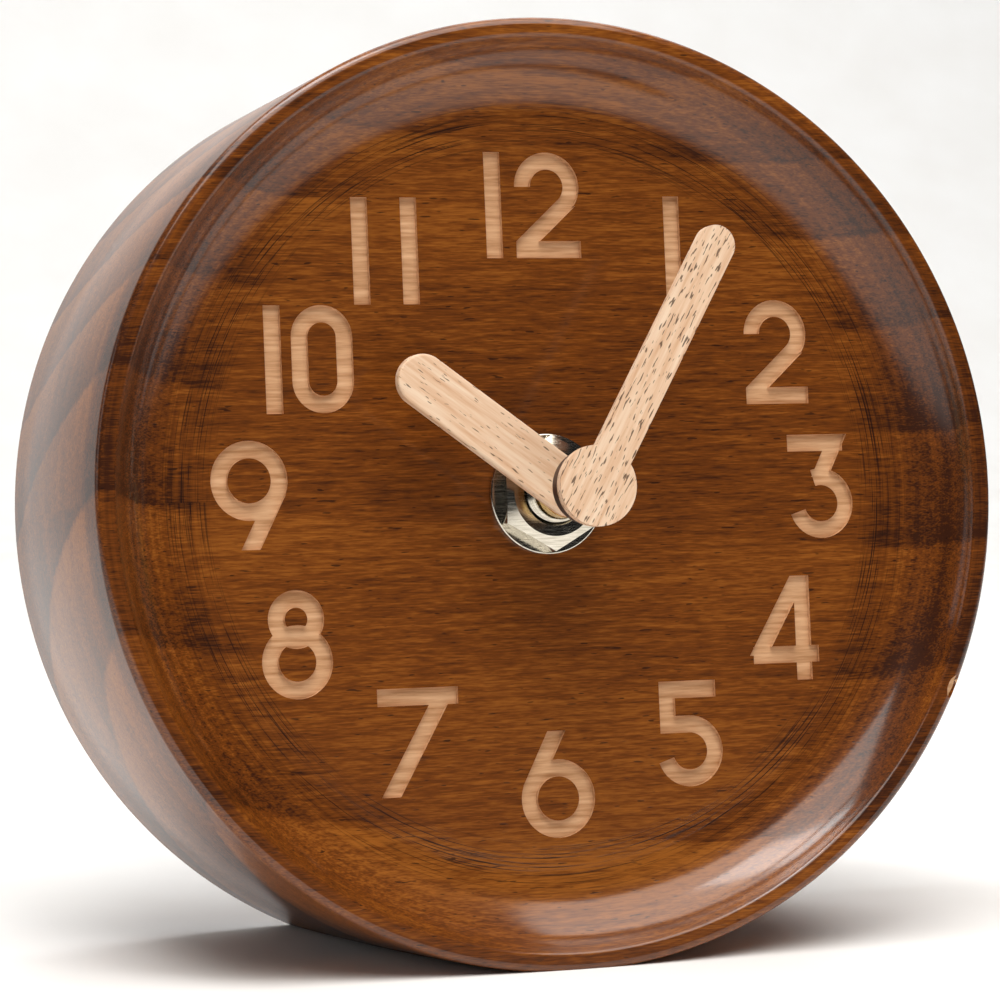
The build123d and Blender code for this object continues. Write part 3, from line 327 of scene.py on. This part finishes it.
# Simpler finishes, each from one noise that mottles the colour, varies the gloss and gives the
# bump. stretch is in grains per mm along x, y and z, and bump is a strength and a depth in mm.
# Moulding texture and rolling lines are really 0.01 to 0.05 mm, and drawn coarser so that they show.
finishes = {
    # planed pine left bare in the engraving: pale and dry, with grain lines 0.6 mm apart
    "barePineGroove": {"colours": ("9c6a3c", "c6976d", "deb289"), "places": (0.25, 0.5, 0.75),
                       "stretch": (0.12, 1.6, 1.6), "detail": 4.0, "fineness": 0.6,
                       "rough": 0.75, "bump": (0.4, 0.1)},
    # turned hardwood in walnut stain: dark and close-grained, with a low sheen
    "stainedTurnedBoss": {"colours": ("1c0d08", "4a2a1c"), "stretch": (1.2, 1.2, 0.3),
                          "detail": 3.0, "rough": 0.45, "bump": (0.3, 0.1)},
    # bright nickel plate on steel: mirror-like, a little warm, with polishing scratches 0.2 mm apart
    "brightNickelPlate": {"colours": ("b9b2a2", "dcd6c8"), "places": (0.35, 0.65),
                          "stretch": (0.4, 6.0, 1.0), "detail": 3.0, "rough": (0.084, 0.224),
                          "bump": (0.15, 0.02), "metallic": 1.0},
    # polystyrene from a spark-eroded mould: dull black
    "blackMouldedPolystyrene": {"colours": ("0b0b0c", "17181a"), "stretch": (3.0,) * 3,
                                "rough": (0.44, 0.6), "bump": (0.35, 0.05)},
    # plastic from a polished mould: a soft shine on each flute
    "blackGlossyKnob": {"colours": ("0c0c0d", "1b1b1d"), "stretch": (1.5,) * 3,
                        "rough": (0.27, 0.43), "bump": (0.15, 0.05)},
    # moulded acetal: waxy off-white with a soft shine
    "whiteAcetalWheels": {"colours": ("d9d8d2", "efeee9"), "stretch": (1.2,) * 3,
                          "rough": (0.32, 0.48), "bump": (0.15, 0.05)},
    # moulded polycarbonate: grey and glassy
    "smokedPolycarbonatePlate": {"colours": ("8d9196", "a9adb1"), "stretch": (0.8,) * 3,
                                 "rough": (0.17, 0.33), "bump": (0.1, 0.05)},
    # moulded nitrile rubber: dusty, with hardly any shine
    "blackNitrileRubber": {"colours": ("0a0a0a", "151514"), "stretch": (2.0,) * 3,
                           "rough": (0.72, 0.88), "bump": (0.5, 0.05)},
    # moulded nylon: warm white and satin
    "whiteNylonBobbin": {"colours": ("cfc9ba", "e3ddcf"), "stretch": (1.5,) * 3,
                         "rough": (0.42, 0.58), "bump": (0.2, 0.05)},
    # epoxy poured over the chip: glossy, gently uneven
    "blackEpoxyBlob": {"colours": ("070707", "121213"), "stretch": (1.0,) * 3,
                       "rough": (0.22, 0.38), "bump": (0.2, 0.05)},
    # pressed paper and phenolic resin: toffee brown with a faint mottle
    "brownPaperPhenolicBoard": {"colours": ("7a4a22", "96602f"), "stretch": (1.4,) * 3,
                                "rough": (0.37, 0.53), "bump": (0.2, 0.05)},
    # brass turned on a lathe: yellow, with rings left round it by the tool
    "turnedBrass": {"colours": ("b58a3c", "d9b466"), "stretch": (1.0, 1.0, 6.0),
                    "rough": (0.175, 0.35), "bump": (0.2, 0.02), "metallic": 1.0},
    # cold-rolled steel sheet: grey, with long faint rolling lines
    "coldRolledSteel": {"colours": ("8f9090", "b9babb"), "stretch": (0.3, 5.0, 1.0),
                        "rough": (0.224, 0.448), "bump": (0.2, 0.02), "metallic": 1.0},
    # sintered magnet: dark, grainy and nearly matt
    "sinteredMagnet": {"colours": ("3c3d40", "5a5b5e"), "stretch": (3.0,) * 3,
                       "rough": (0.35, 0.7), "bump": (0.2, 0.02), "metallic": 1.0},
    # drawn copper wire under clear enamel: red-brown, shining along turns 0.11 mm apart
    "enamelledCopperWire": {"colours": ("8a3d1c", "c8703c"), "stretch": (9.0, 0.4, 0.4),
                            "rough": (0.21, 0.42), "bump": (0.2, 0.02), "metallic": 1.0},
    # nickel-plated spring strip: pale and fairly bright
    "nickelPlatedSpringSteel": {"colours": ("a9a89f", "cfcec6"), "stretch": (0.3, 5.0, 1.0),
                                "rough": (0.154, 0.308), "bump": (0.2, 0.02), "metallic": 1.0},
}


def grainedMaterial(name, finish):
    material, tree = startMaterial(name)
    grain = addNode(tree, "ShaderNodeTexNoise",
                    values={"Scale": 1.0, "Detail": finish.get("detail", 2.0),
                            "Roughness": finish.get("fineness", 0.5)},
                    links={"Vector": clockPoint(tree, stretch=finish["stretch"])}).outputs[0]
    colour = addNode(tree, "ShaderNodeValToRGB", links={"Fac": grain},
                     stops=list(zip(finish.get("places", (0.3, 0.7)), finish["colours"])))
    strength, depth = finish["bump"]
    bump = addNode(tree, "ShaderNodeBump", links={"Height": grain},
                   values={"Strength": strength, "Distance": depth * mm})
    values = {"Metallic": finish.get("metallic", 0.0)}
    links = {"Base Color": colour.outputs[0], "Normal": bump.outputs[0]}
    if isinstance(finish["rough"], tuple):
        low, high = finish["rough"]
        links["Roughness"] = addNode(tree, "ShaderNodeMapRange", links={0: grain},
                                     values={**noiseSpan, 3: low, 4: high}).outputs[0]
    else:
        values["Roughness"] = finish["rough"]
    closeMaterial(tree, values, links)
    return material


made = {name: grainedMaterial(name, finish) for name, finish in finishes.items()}
lacqueredPine = stainedPine()
print("mixed", len(made) + 1, "finishes")


# Pieces

def finishPiece(name, bm, body, materials, replaced, smoothAngle=35, place=clockFrame):
    # places a mesh made in millimetres, and hands it to its body
    rounded = [abs(face.normal.z) < 0.9999 for face in bm.faces]   # the rest are square to the spindle
    bmesh.ops.transform(bm, matrix=place @ Matrix.Scale(mm, 4), verts=bm.verts)
    piece = looseObject(name, bm)
    mesh = piece.data
    if mesh.has_custom_normals:
        mesh.attributes.remove(mesh.attributes["custom_normal"])
    mesh.set_sharp_from_angle(angle=math.radians(smoothAngle))
    mesh.polygons.foreach_set("use_smooth", rounded)
    for material in materials:
        mesh.materials.append(material)
    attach(piece, body)
    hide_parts(*replaced)
    print("made", name, len(mesh.polygons), "faces")


def looseObject(name, bm):
    mesh = bpy.data.meshes.new(name)
    bm.to_mesh(mesh)
    bm.free()
    piece = bpy.data.objects.new(name, mesh)
    bpy.context.scene.collection.objects.link(piece)
    return piece


def turnProfile(bm, profile, steps):
    # spins a closed loop of (radius, level) points round the spindle
    verts = [bm.verts.new((r, 0, z)) for r, z in profile]
    edges = [bm.edges.new(pair) for pair in zip(verts, verts[1:] + verts[:1])]
    bmesh.ops.spin(bm, geom=verts + edges, cent=(0, 0, 0), axis=(0, 0, 1),
                   angle=2 * math.pi, steps=steps, use_merge=True)
    bmesh.ops.remove_doubles(bm, verts=bm.verts, dist=1e-5)
    bmesh.ops.recalc_face_normals(bm, faces=bm.faces)


def ringEdges(bm, radius, level):
    # the edges of one circle of a turned shape
    def onRing(vert):
        return abs(math.hypot(vert.co.x, vert.co.y) - radius) < 0.01 and abs(vert.co.z - level) < 0.01
    return [edge for edge in bm.edges if all(onRing(vert) for vert in edge.verts)]


def bevelEdges(bm, edges, offset, segments):
    bmesh.ops.bevel(bm, geom=edges, offset=offset, segments=segments, profile=0.5,
                    affect="EDGES", material=-1, clamp_overlap=True)


def raiseFaces(bm, height):
    # gives flat faces a thickness, and keeps the faces that they start from
    raised = bmesh.ops.extrude_face_region(bm, geom=bm.faces[:], use_keep_orig=True)
    far = [item for item in raised["geom"] if isinstance(item, bmesh.types.BMVert)]
    bmesh.ops.translate(bm, vec=(0, 0, height), verts=far)


def combine(blank, tools, operation):
    # cuts or joins the blank with each tool, and returns the result as a bmesh
    for tool in tools:
        modifier = blank.modifiers.new("tool", "BOOLEAN")
        modifier.operation, modifier.solver, modifier.object = operation, "EXACT", tool
        graph = bpy.context.evaluated_depsgraph_get()
        result = bpy.data.meshes.new_from_object(blank.evaluated_get(graph))
        blank.modifiers.clear()
        blank.data = result
    bm = bmesh.new()
    bm.from_mesh(blank.data)
    for scrap in (blank, *tools):
        bpy.data.objects.remove(scrap)
    return bm


# The turned block: dial, cove, rounded rim and hollow back
block = {
    "rim": 63.5, "depth": 47.0, "lip": 61.0, "frontRound": 1.0, "rearRound": 1.0, "lipRound": 0.35,
    "dial": 50.5, "dialLevel": 40.5, "quiet": 48.3,      # quiet: a ring of the flat dial clear of numerals
    "pocket": 42.0, "pocketLevel": 36.5, "pocketRound": 1.0, "hole": 4.3,
    "steps": 288, "coveSteps": 14, "frontSteps": 5, "roundSteps": 3, "smoothAngle": 28,
    "grooveDepth": 0.7, "grooveReach": 0.9, "holeClear": 1.0,
    # corners of the 2s where two strokes meet, and the corners that they are merged with
    "strokeCorners": (((37.06, 18.74), (35.35, 18.74)), ((28.83, 12.84), (30.06, 12.84)),
                      ((4.30, 38.91), (2.59, 38.91)), ((-3.93, 33.00), (-2.70, 33.00))),
    "chip": (56.5, -28.2, 47.1), "chipSize": (1.1, 1.9, 0.9), "chipTurn": -26.5,
}


def cutterFromGrooves():
    # the numerals' floors on the part's own block, raised into solid cutters
    bm = bmesh.new()
    bm.from_mesh(nodes["wood_case"].data)
    bmesh.ops.transform(bm, matrix=Matrix.Scale(1 / mm, 4) @ clockFrame.inverted(), verts=bm.verts)
    bmesh.ops.remove_doubles(bm, verts=bm.verts, dist=0.001)
    floorLevel = block["dialLevel"] - block["grooveDepth"]
    others = [face for face in bm.faces
              if abs(face.calc_center_median().z - floorLevel) > 0.02 or abs(face.normal.z) < 0.99]
    bmesh.ops.delete(bm, geom=others, context="FACES")
    raiseFaces(bm, 2 * block["grooveDepth"])
    for corner, kept in block["strokeCorners"]:
        for vert in bm.verts:
            if math.dist(vert.co.xy, corner) < 0.03:
                vert.co.xy = kept
    bmesh.ops.remove_doubles(bm, verts=bm.verts, dist=0.02)
    bmesh.ops.recalc_face_normals(bm, faces=bm.faces)
    return looseObject("grooveCutter", bm)


def chipCutter():
    # the small chip knocked out of the rim near 4 o'clock
    bm = bmesh.new()
    bmesh.ops.create_icosphere(bm, subdivisions=2, radius=1.0)
    place = (Matrix.Translation(block["chip"]) @ Matrix.Rotation(math.radians(block["chipTurn"]), 4, "Z")
             @ Matrix.Diagonal(block["chipSize"]).to_4x4())
    bmesh.ops.transform(bm, matrix=place, verts=bm.verts)
    return looseObject("chipCutter", bm)


def woodBlank():
    bm = bmesh.new()
    width, depth = block["lip"] - block["dial"], block["depth"] - block["dialLevel"]
    coveRadius = (width ** 2 + depth ** 2) / 2 / depth
    start = bm.verts.new((block["dial"], 0, block["dialLevel"]))
    arc = bmesh.ops.spin(bm, geom=[start], cent=(block["dial"], 0, block["dialLevel"] + coveRadius),
                         axis=(0, -1, 0), angle=math.asin(width / coveRadius),
                         steps=block["coveSteps"])
    corners = [(block["rim"], block["depth"]), (block["rim"], 0), (block["pocket"], 0),
               (block["pocket"], block["pocketLevel"]), (block["hole"], block["pocketLevel"]),
               (block["hole"], block["dialLevel"]), (block["quiet"], block["dialLevel"])]
    run = [arc["geom_last"][0]] + [bm.verts.new((r, 0, z)) for r, z in corners] + [start]
    for pair in zip(run, run[1:]):
        bm.edges.new(pair)
    bmesh.ops.spin(bm, geom=bm.verts[:] + bm.edges[:], cent=(0, 0, 0), axis=(0, 0, 1),
                   angle=2 * math.pi, steps=block["steps"], use_merge=True)
    bmesh.ops.remove_doubles(bm, verts=bm.verts, dist=1e-4)
    bmesh.ops.recalc_face_normals(bm, faces=bm.faces)
    for radius, level, offset, steps in (
            (block["rim"], block["depth"], block["frontRound"], block["frontSteps"]),
            (block["rim"], 0, block["rearRound"], block["roundSteps"]),
            (block["pocket"], 0, block["pocketRound"], block["roundSteps"]),
            (block["lip"], block["depth"], block["lipRound"], block["roundSteps"])):
        bevelEdges(bm, ringEdges(bm, radius, level), offset, steps)
    return looseObject("woodBlank", bm)


def buildBlock():
    bm = combine(woodBlank(), [cutterFromGrooves(), chipCutter()], "DIFFERENCE")
    # flat underneath, in the frame of the room
    fromRoom = (clockFrame @ Matrix.Scale(mm, 4)).inverted()
    cut = bmesh.ops.bisect_plane(bm, geom=bm.verts[:] + bm.edges[:] + bm.faces[:], dist=1e-5,
                                 plane_co=fromRoom.translation, clear_inner=True,
                                 plane_no=(fromRoom.to_3x3() @ Vector((0, 0, 1))).normalized())
    cutEdges = [item for item in cut["geom_cut"] if isinstance(item, bmesh.types.BMEdge)]
    bmesh.ops.edgeloop_fill(bm, edges=cutEdges)
    for face in bm.faces:
        middle = face.calc_center_median()
        below = block["dialLevel"] - middle.z
        inGroove = (0.05 < below < block["grooveReach"] and
                    block["hole"] + block["holeClear"] < middle.xy.length < block["quiet"])
        away = middle - Vector(block["chip"])
        inChip = away.length < max(block["chipSize"]) and len(face.verts) == 3
        face.material_index = 1 if inGroove or inChip else 0
    finishPiece("turnedWoodBlock", bm, "case", [lacqueredPine, made["barePineGroove"]],
                ["wood_case"], block["smoothAngle"])


buildBlock()


# Washer, nut and threaded bush at the middle of the dial
clamp = {
    "dialLevel": 40.5, "steps": 96, "roundSteps": 3, "nutSmooth": 12, "bushSmooth": 30,   # degrees
    "washer": 8.1, "washerThick": 0.8, "washerHole": 4.1, "washerRound": 0.18,
    "nutFlats": 13.5, "nutThick": 2.8, "nutHole": 4.06, "nutFace": 5.8, "nutChamfer": 0.6,
    "nutLowChamfer": 0.18, "nutSpare": 0.05, "mouthEase": 0.35, "lowMouth": (0.1, 0.4),
    "bush": 4.0, "bushBore": 2.56, "bushTop": 45.9, "flange": 5.5, "flangeTop": 33.0, "flangeThick": 1.2,
    "pitch": 0.6, "threadDepth": 0.32, "threadLow": 34.0, "threadGap": 0.15, "threadSteps": 64,
    "toothHalf": 0.276, "toothSink": 0.1, "crestHalf": 0.05, "crestEase": 0.04,
}


def buildWasher():
    bm = bmesh.new()
    low, high = clamp["dialLevel"], clamp["dialLevel"] + clamp["washerThick"]
    turnProfile(bm, [(clamp["washerHole"], low), (clamp["washer"], low), (clamp["washer"], high),
                     (clamp["washerHole"], high)], clamp["steps"])
    bevelEdges(bm, ringEdges(bm, clamp["washer"], high), clamp["washerRound"],
               clamp["roundSteps"])
    finishPiece("platedWasher", bm, "case", [made["brightNickelPlate"]], ["washer"])


def buildNut():
    # a hexagon that starts with a corner at 6 o'clock, inside a turned shape that eases its corners
    low = clamp["dialLevel"] + clamp["washerThick"]
    high = low + clamp["nutThick"]
    corner = clamp["nutFlats"] / math.sqrt(3)
    bm = bmesh.new()
    bmesh.ops.create_cone(bm, cap_ends=True, segments=6, radius1=corner, radius2=corner,
                          depth=clamp["nutThick"])
    bmesh.ops.translate(bm, vec=(0, 0, (low + high) / 2), verts=bm.verts)
    bmesh.ops.recalc_face_normals(bm, faces=bm.faces)
    hexagon = looseObject("nutBlank", bm)
    bm = bmesh.new()
    hole, reach, chamfer = clamp["nutHole"], corner + clamp["nutSpare"], clamp["nutChamfer"]
    lowWide, lowDeep = clamp["lowMouth"]
    turnProfile(bm, [(hole + clamp["mouthEase"], high), (clamp["nutFace"], high),
                     (reach, high - chamfer), (reach, low + clamp["nutLowChamfer"]),
                     (corner - chamfer, low), (hole + lowWide, low),
                     (hole, low + lowDeep), (hole, high - clamp["mouthEase"])], clamp["steps"])
    bm = combine(hexagon, [looseObject("nutTurning", bm)], "INTERSECT")
    bmesh.ops.remove_doubles(bm, verts=bm.verts, dist=1e-4)
    finishPiece("platedHexNut", bm, "case", [made["brightNickelPlate"]], ["hex_nut"],
                clamp["nutSmooth"])


def buildBush():
    # smooth tube and flange, with a rolled thread wound round it as a helix
    bm = bmesh.new()
    root, crest = clamp["bush"] - clamp["threadDepth"], clamp["bush"] - clamp["crestEase"]
    flangeLow = clamp["flangeTop"] - clamp["flangeThick"]
    turnProfile(bm, [(clamp["bushBore"], flangeLow), (clamp["flange"], flangeLow),
                     (clamp["flange"], clamp["flangeTop"]), (root, clamp["flangeTop"]),
                     (root, clamp["bushTop"]), (clamp["bushBore"], clamp["bushTop"])], clamp["steps"])
    turns = int((clamp["bushTop"] - clamp["threadLow"]) / clamp["pitch"]) - 1
    low = clamp["bushTop"] - clamp["threadGap"] - (turns + 0.5) * clamp["pitch"]
    foot = root - clamp["toothSink"]
    tooth = [bm.verts.new((r, 0, low + up)) for r, up in (
        (foot, -clamp["toothHalf"]), (crest, -clamp["crestHalf"]),
        (crest, clamp["crestHalf"]), (foot, clamp["toothHalf"]))]
    steps = clamp["threadSteps"]
    bmesh.ops.spin(bm, geom=[bm.faces.new(tooth)], cent=(0, 0, 0), axis=(0, 0, 1),
                   dvec=(0, 0, clamp["pitch"] / steps), angle=2 * math.pi * turns, steps=steps * turns)
    bmesh.ops.recalc_face_normals(bm, faces=bm.faces)
    finishPiece("threadedBush", bm, "case", [made["brightNickelPlate"]], ["threaded_bush"],
                clamp["bushSmooth"])


buildWasher()
buildNut()
buildBush()


# Hands
hands = {
    "thick": 1.4, "ease": 0.32, "easeSteps": 4, "tipSteps": 80, "smoothAngle": 40,
    "hourFront": 50.1, "hourWidth": 7.0, "hourReach": 28.3, "hourAngle": 306.5, "hourDashes": 0.665,
    "pipe": 2.5, "pipeSteps": 64,
    "minuteFront": 59.9, "minuteWidth": 5.3, "minuteReach": 38.8, "minuteAngle": 30.0,
    "minuteDashes": 0.605, "hub": 5.3,
    "boss": 4.9, "bossLong": 3.0, "bossHole": 1.4, "bossRound": 0.4, "bossRoundSteps": 4,
    "roundSteps": 96,
}


def handFrame(angle, front):
    # y along the hand, z forward, origin on the spindle at the hand's front face
    return (clockFrame @ Matrix.Translation((0, 0, front * mm))
            @ Matrix.Rotation(-math.radians(angle), 4, "Z"))


def discBlank(name, radius, steps, stretchTo=0.0):
    # a disc as thick as a hand, its upper half drawn out along y for a round-ended bar
    bm = bmesh.new()
    bmesh.ops.create_circle(bm, cap_ends=True, segments=steps, radius=radius)
    far = [vert for vert in bm.verts if vert.co.y > 1e-4]
    bmesh.ops.translate(bm, vec=(0, stretchTo, 0), verts=far)
    raiseFaces(bm, -hands["thick"])
    bmesh.ops.recalc_face_normals(bm, faces=bm.faces)
    return looseObject(name, bm)


def finishHand(bm, which, material, name):
    # sands the front edges round and hands it over
    front = [edge for edge in bm.edges
             if all(abs(vert.co.z) < 1e-4 for vert in edge.verts)
             and any(abs(face.normal.z) < 0.5 for face in edge.link_faces)]
    bevelEdges(bm, front, hands["ease"], hands["easeSteps"])
    place = handFrame(hands[which + "Angle"], hands[which + "Front"])
    wood = bareBeech(material, place, hands[which + "Dashes"])
    finishPiece(name, bm, which, [wood], [which + "_hand"], hands["smoothAngle"], place)


def barBlank(which):
    half = hands[which + "Width"] / 2
    return discBlank(which + "Bar", half, hands["tipSteps"], hands[which + "Reach"] - half)


def buildHourHand():
    bm = bmesh.new()
    bmesh.ops.create_cone(bm, cap_ends=True, segments=hands["pipeSteps"], radius1=hands["pipe"],
                          radius2=hands["pipe"], depth=4 * hands["thick"])
    bm = combine(barBlank("hour"), [looseObject("pipeDrill", bm)], "DIFFERENCE")
    finishHand(bm, "hour", "beechAlongHourHand", "beechHourHand")


def buildMinuteHand():
    hub = discBlank("minuteHub", hands["hub"], hands["roundSteps"])
    bm = combine(barBlank("minute"), [hub], "UNION")
    bmesh.ops.remove_doubles(bm, verts=bm.verts, dist=1e-4)
    finishHand(bm, "minute", "beechAlongMinuteHand", "beechMinuteHand")


def buildBoss():
    bm = bmesh.new()
    high = hands["minuteFront"] - hands["thick"]
    low = high - hands["bossLong"]
    turnProfile(bm, [(hands["bossHole"], low), (hands["boss"], low), (hands["boss"], high),
                     (hands["bossHole"], high)], hands["roundSteps"])
    bevelEdges(bm, ringEdges(bm, hands["boss"], low), hands["bossRound"],
               hands["bossRoundSteps"])
    finishPiece("turnedHandBoss", bm, "minute", [made["stainedTurnedBoss"]], ["minute_hand_boss"])


buildHourHand()
buildMinuteHand()
buildBoss()


# Which of the part's own pieces has which finish
worn = {
    "blackMouldedPolystyrene": ("movement_case", "movement_cover"),
    "smokedPolycarbonatePlate": ("middle_plate",),
    "blackNitrileRubber": ("gasket",),
    "blackGlossyKnob": ("setting_knob",),
    "whiteAcetalWheels": ("motion_wheel", "hour_wheel", "drive_wheel", "third_wheel", "seconds_wheel",
                          "fifth_wheel", "rotor"),
    "turnedBrass": ("hour_hand_collet", "minute_arbor"),
    "nickelPlatedSpringSteel": ("clutch_spring", "quartz_crystal", "plus_contact", "minus_contact"),
    "coldRolledSteel": ("stator", "coil_core"),
    "sinteredMagnet": ("rotor_magnet",),
    "enamelledCopperWire": ("coil_winding",),
    "whiteNylonBobbin": ("coil_bobbin",),
    "brownPaperPhenolicBoard": ("circuit_board",),
    "blackEpoxyBlob": ("clock_chip",),
    "brightNickelPlate": ("washer", "hex_nut", "threaded_bush"),
    "stainedTurnedBoss": ("hour_hand", "minute_hand", "minute_hand_boss"),
}
finishOf = {node: made[name] for name, group in worn.items() for node in group}
finishOf["wood_case"] = lacqueredPine
finishOf["battery"] = jacketedBattery()
for name, node in nodes.items():
    node.data.materials.clear()
    node.data.materials.append(finishOf[name])
print("finished", len(nodes), "nodes of the part")


# Studio: pale floor that sweeps up behind, soft boxes, camera at the angle of the picture
studio = {
    "floorHalf": 1.6, "backAt": 1.2, "wallHigh": 1.6, "sweep": 0.5, "sweepSteps": 24,   # metres
    "paper": [(0.3, "f2f1ef"), (0.7, "f6f6f5")], "paperMottle": 30.0, "paperRoughness": 0.9,
    "roomColour": "e8ecf4", "roomStrength": 0.03,
    "distance": 0.5, "azimuth": 20.27, "elevation": -2.64, "roll": -2.39,   # metres and degrees
    "focal": 3793.0, "pixels": 1000.0, "sensor": 36.0, "clip": (0.01, 20.0),
    "aim": (-8.97, -0.95, 47.0),     # a point in the plane of the rim
}
# soft boxes: place, target and size in metres, watts and colour
softBoxes = {
    # high in front: lights the dial, and shows in the lacquer only low on the cove
    "overheadSoftBox": ((-0.01, -0.34, 0.84), (0, 0, 0.06), (0.9, 0.83), 9.3, "fffaf4"),
    # strip overhead: the thin bright line along the top of the rim
    "rimStripBox": ((-0.19, -0.1, 0.86), (0, 0, 0.06), (0.9, 0.18), 3.8, "ffffff"),
    # left: the pale sheen on the side of the block
    "leftSoftBox": ((-1.05, 0.12, 0.35), (0, 0.03, 0.06), (0.5, 0.5), 0.9, "ffffff"),
    # behind: whitens the part of the wall that the camera sees, out of the lacquer's sight
    "backdropSoftBox": ((0.45, 0.75, 1.3), (0.45, 1.2, 0.2), (1.0, 0.5), 9.5, "ffffff"),
}


def buildFloor():
    bm = bmesh.new()
    bmesh.ops.create_grid(bm, x_segments=1, y_segments=1, size=studio["floorHalf"])
    bmesh.ops.translate(bm, vec=(0, studio["backAt"] - studio["floorHalf"], 0), verts=bm.verts)
    rear = [edge for edge in bm.edges if all(v.co.y > studio["backAt"] - 1e-4 for v in edge.verts)]
    raised = bmesh.ops.extrude_edge_only(bm, edges=rear)
    bmesh.ops.translate(bm, vec=(0, 0, studio["wallHigh"]),
                        verts=[item for item in raised["geom"] if isinstance(item, bmesh.types.BMVert)])
    bevelEdges(bm, [edge for edge in bm.edges if len(edge.link_faces) == 2], studio["sweep"],
               studio["sweepSteps"])
    bmesh.ops.recalc_face_normals(bm, faces=bm.faces)
    floor = looseObject("studioFloor", bm)
    floor.data.shade_smooth()
    # seamless paper: nearly white and matt, with a faint mottle of 33 mm
    material, tree = startMaterial("paleStudioPaper")
    mottle = addNode(tree, "ShaderNodeTexNoise", values={"Scale": studio["paperMottle"], "Detail": 2.0},
                     links={"Vector": addNode(tree, "ShaderNodeTexCoord").outputs["Object"]})
    paper = addNode(tree, "ShaderNodeValToRGB", links={"Fac": mottle.outputs[0]}, stops=studio["paper"])
    closeMaterial(tree, {"Roughness": studio["paperRoughness"]}, {"Base Color": paper.outputs[0]})
    floor.data.materials.append(material)


def addSoftBox(name, place, target, size, power, colour):
    lamp = bpy.data.lights.new(name, "AREA")
    lamp.shape = "RECTANGLE"
    lamp.size, lamp.size_y = size
    lamp.energy = power
    lamp.color = linear(colour)[:3]
    box = bpy.data.objects.new(name, lamp)
    box.location = place
    box.rotation_euler = (Vector(target) - Vector(place)).to_track_quat("-Z", "Y").to_euler()
    bpy.context.scene.collection.objects.link(box)


def buildRoom():
    world = bpy.data.worlds.new("studioRoom")
    world.use_nodes = True
    background = world.node_tree.nodes["Background"]
    background.inputs["Color"].default_value = linear(studio["roomColour"])
    background.inputs["Strength"].default_value = studio["roomStrength"]
    bpy.context.scene.world = world
    for name, settings in softBoxes.items():
        addSoftBox(name, *settings)


def buildCamera():
    azimuth, elevation, roll = (math.radians(studio[key]) for key in ("azimuth", "elevation", "roll"))
    # towards the camera, in the clock's frame: x right, y to 12 o'clock, z forward
    back = Vector((-math.sin(azimuth) * math.cos(elevation), math.sin(elevation),
                   math.cos(azimuth) * math.cos(elevation)))
    right = Vector((0, 1, 0)).cross(back).normalized()
    up = back.cross(right)
    turnedRight = right * math.cos(roll) + up * math.sin(roll)
    turnedUp = up * math.cos(roll) - right * math.sin(roll)
    aim = Vector(studio["aim"]) * mm
    lens = bpy.data.cameras.new("studioCamera")
    lens.sensor_width = studio["sensor"]
    lens.lens = studio["focal"] / studio["pixels"] * studio["sensor"]
    lens.clip_start, lens.clip_end = studio["clip"]
    camera = bpy.data.objects.new("studioCamera", lens)
    local = Matrix((turnedRight, turnedUp, back)).transposed().to_4x4()
    local.translation = aim + back * studio["distance"]
    camera.matrix_world = clockFrame @ local
    bpy.context.scene.collection.objects.link(camera)
    bpy.context.scene.camera = camera
    print("studio: camera at", [round(n, 4) for n in camera.matrix_world.translation])


buildFloor()
buildRoom()
buildCamera()
bpy.context.scene.view_settings.view_transform = "Standard"
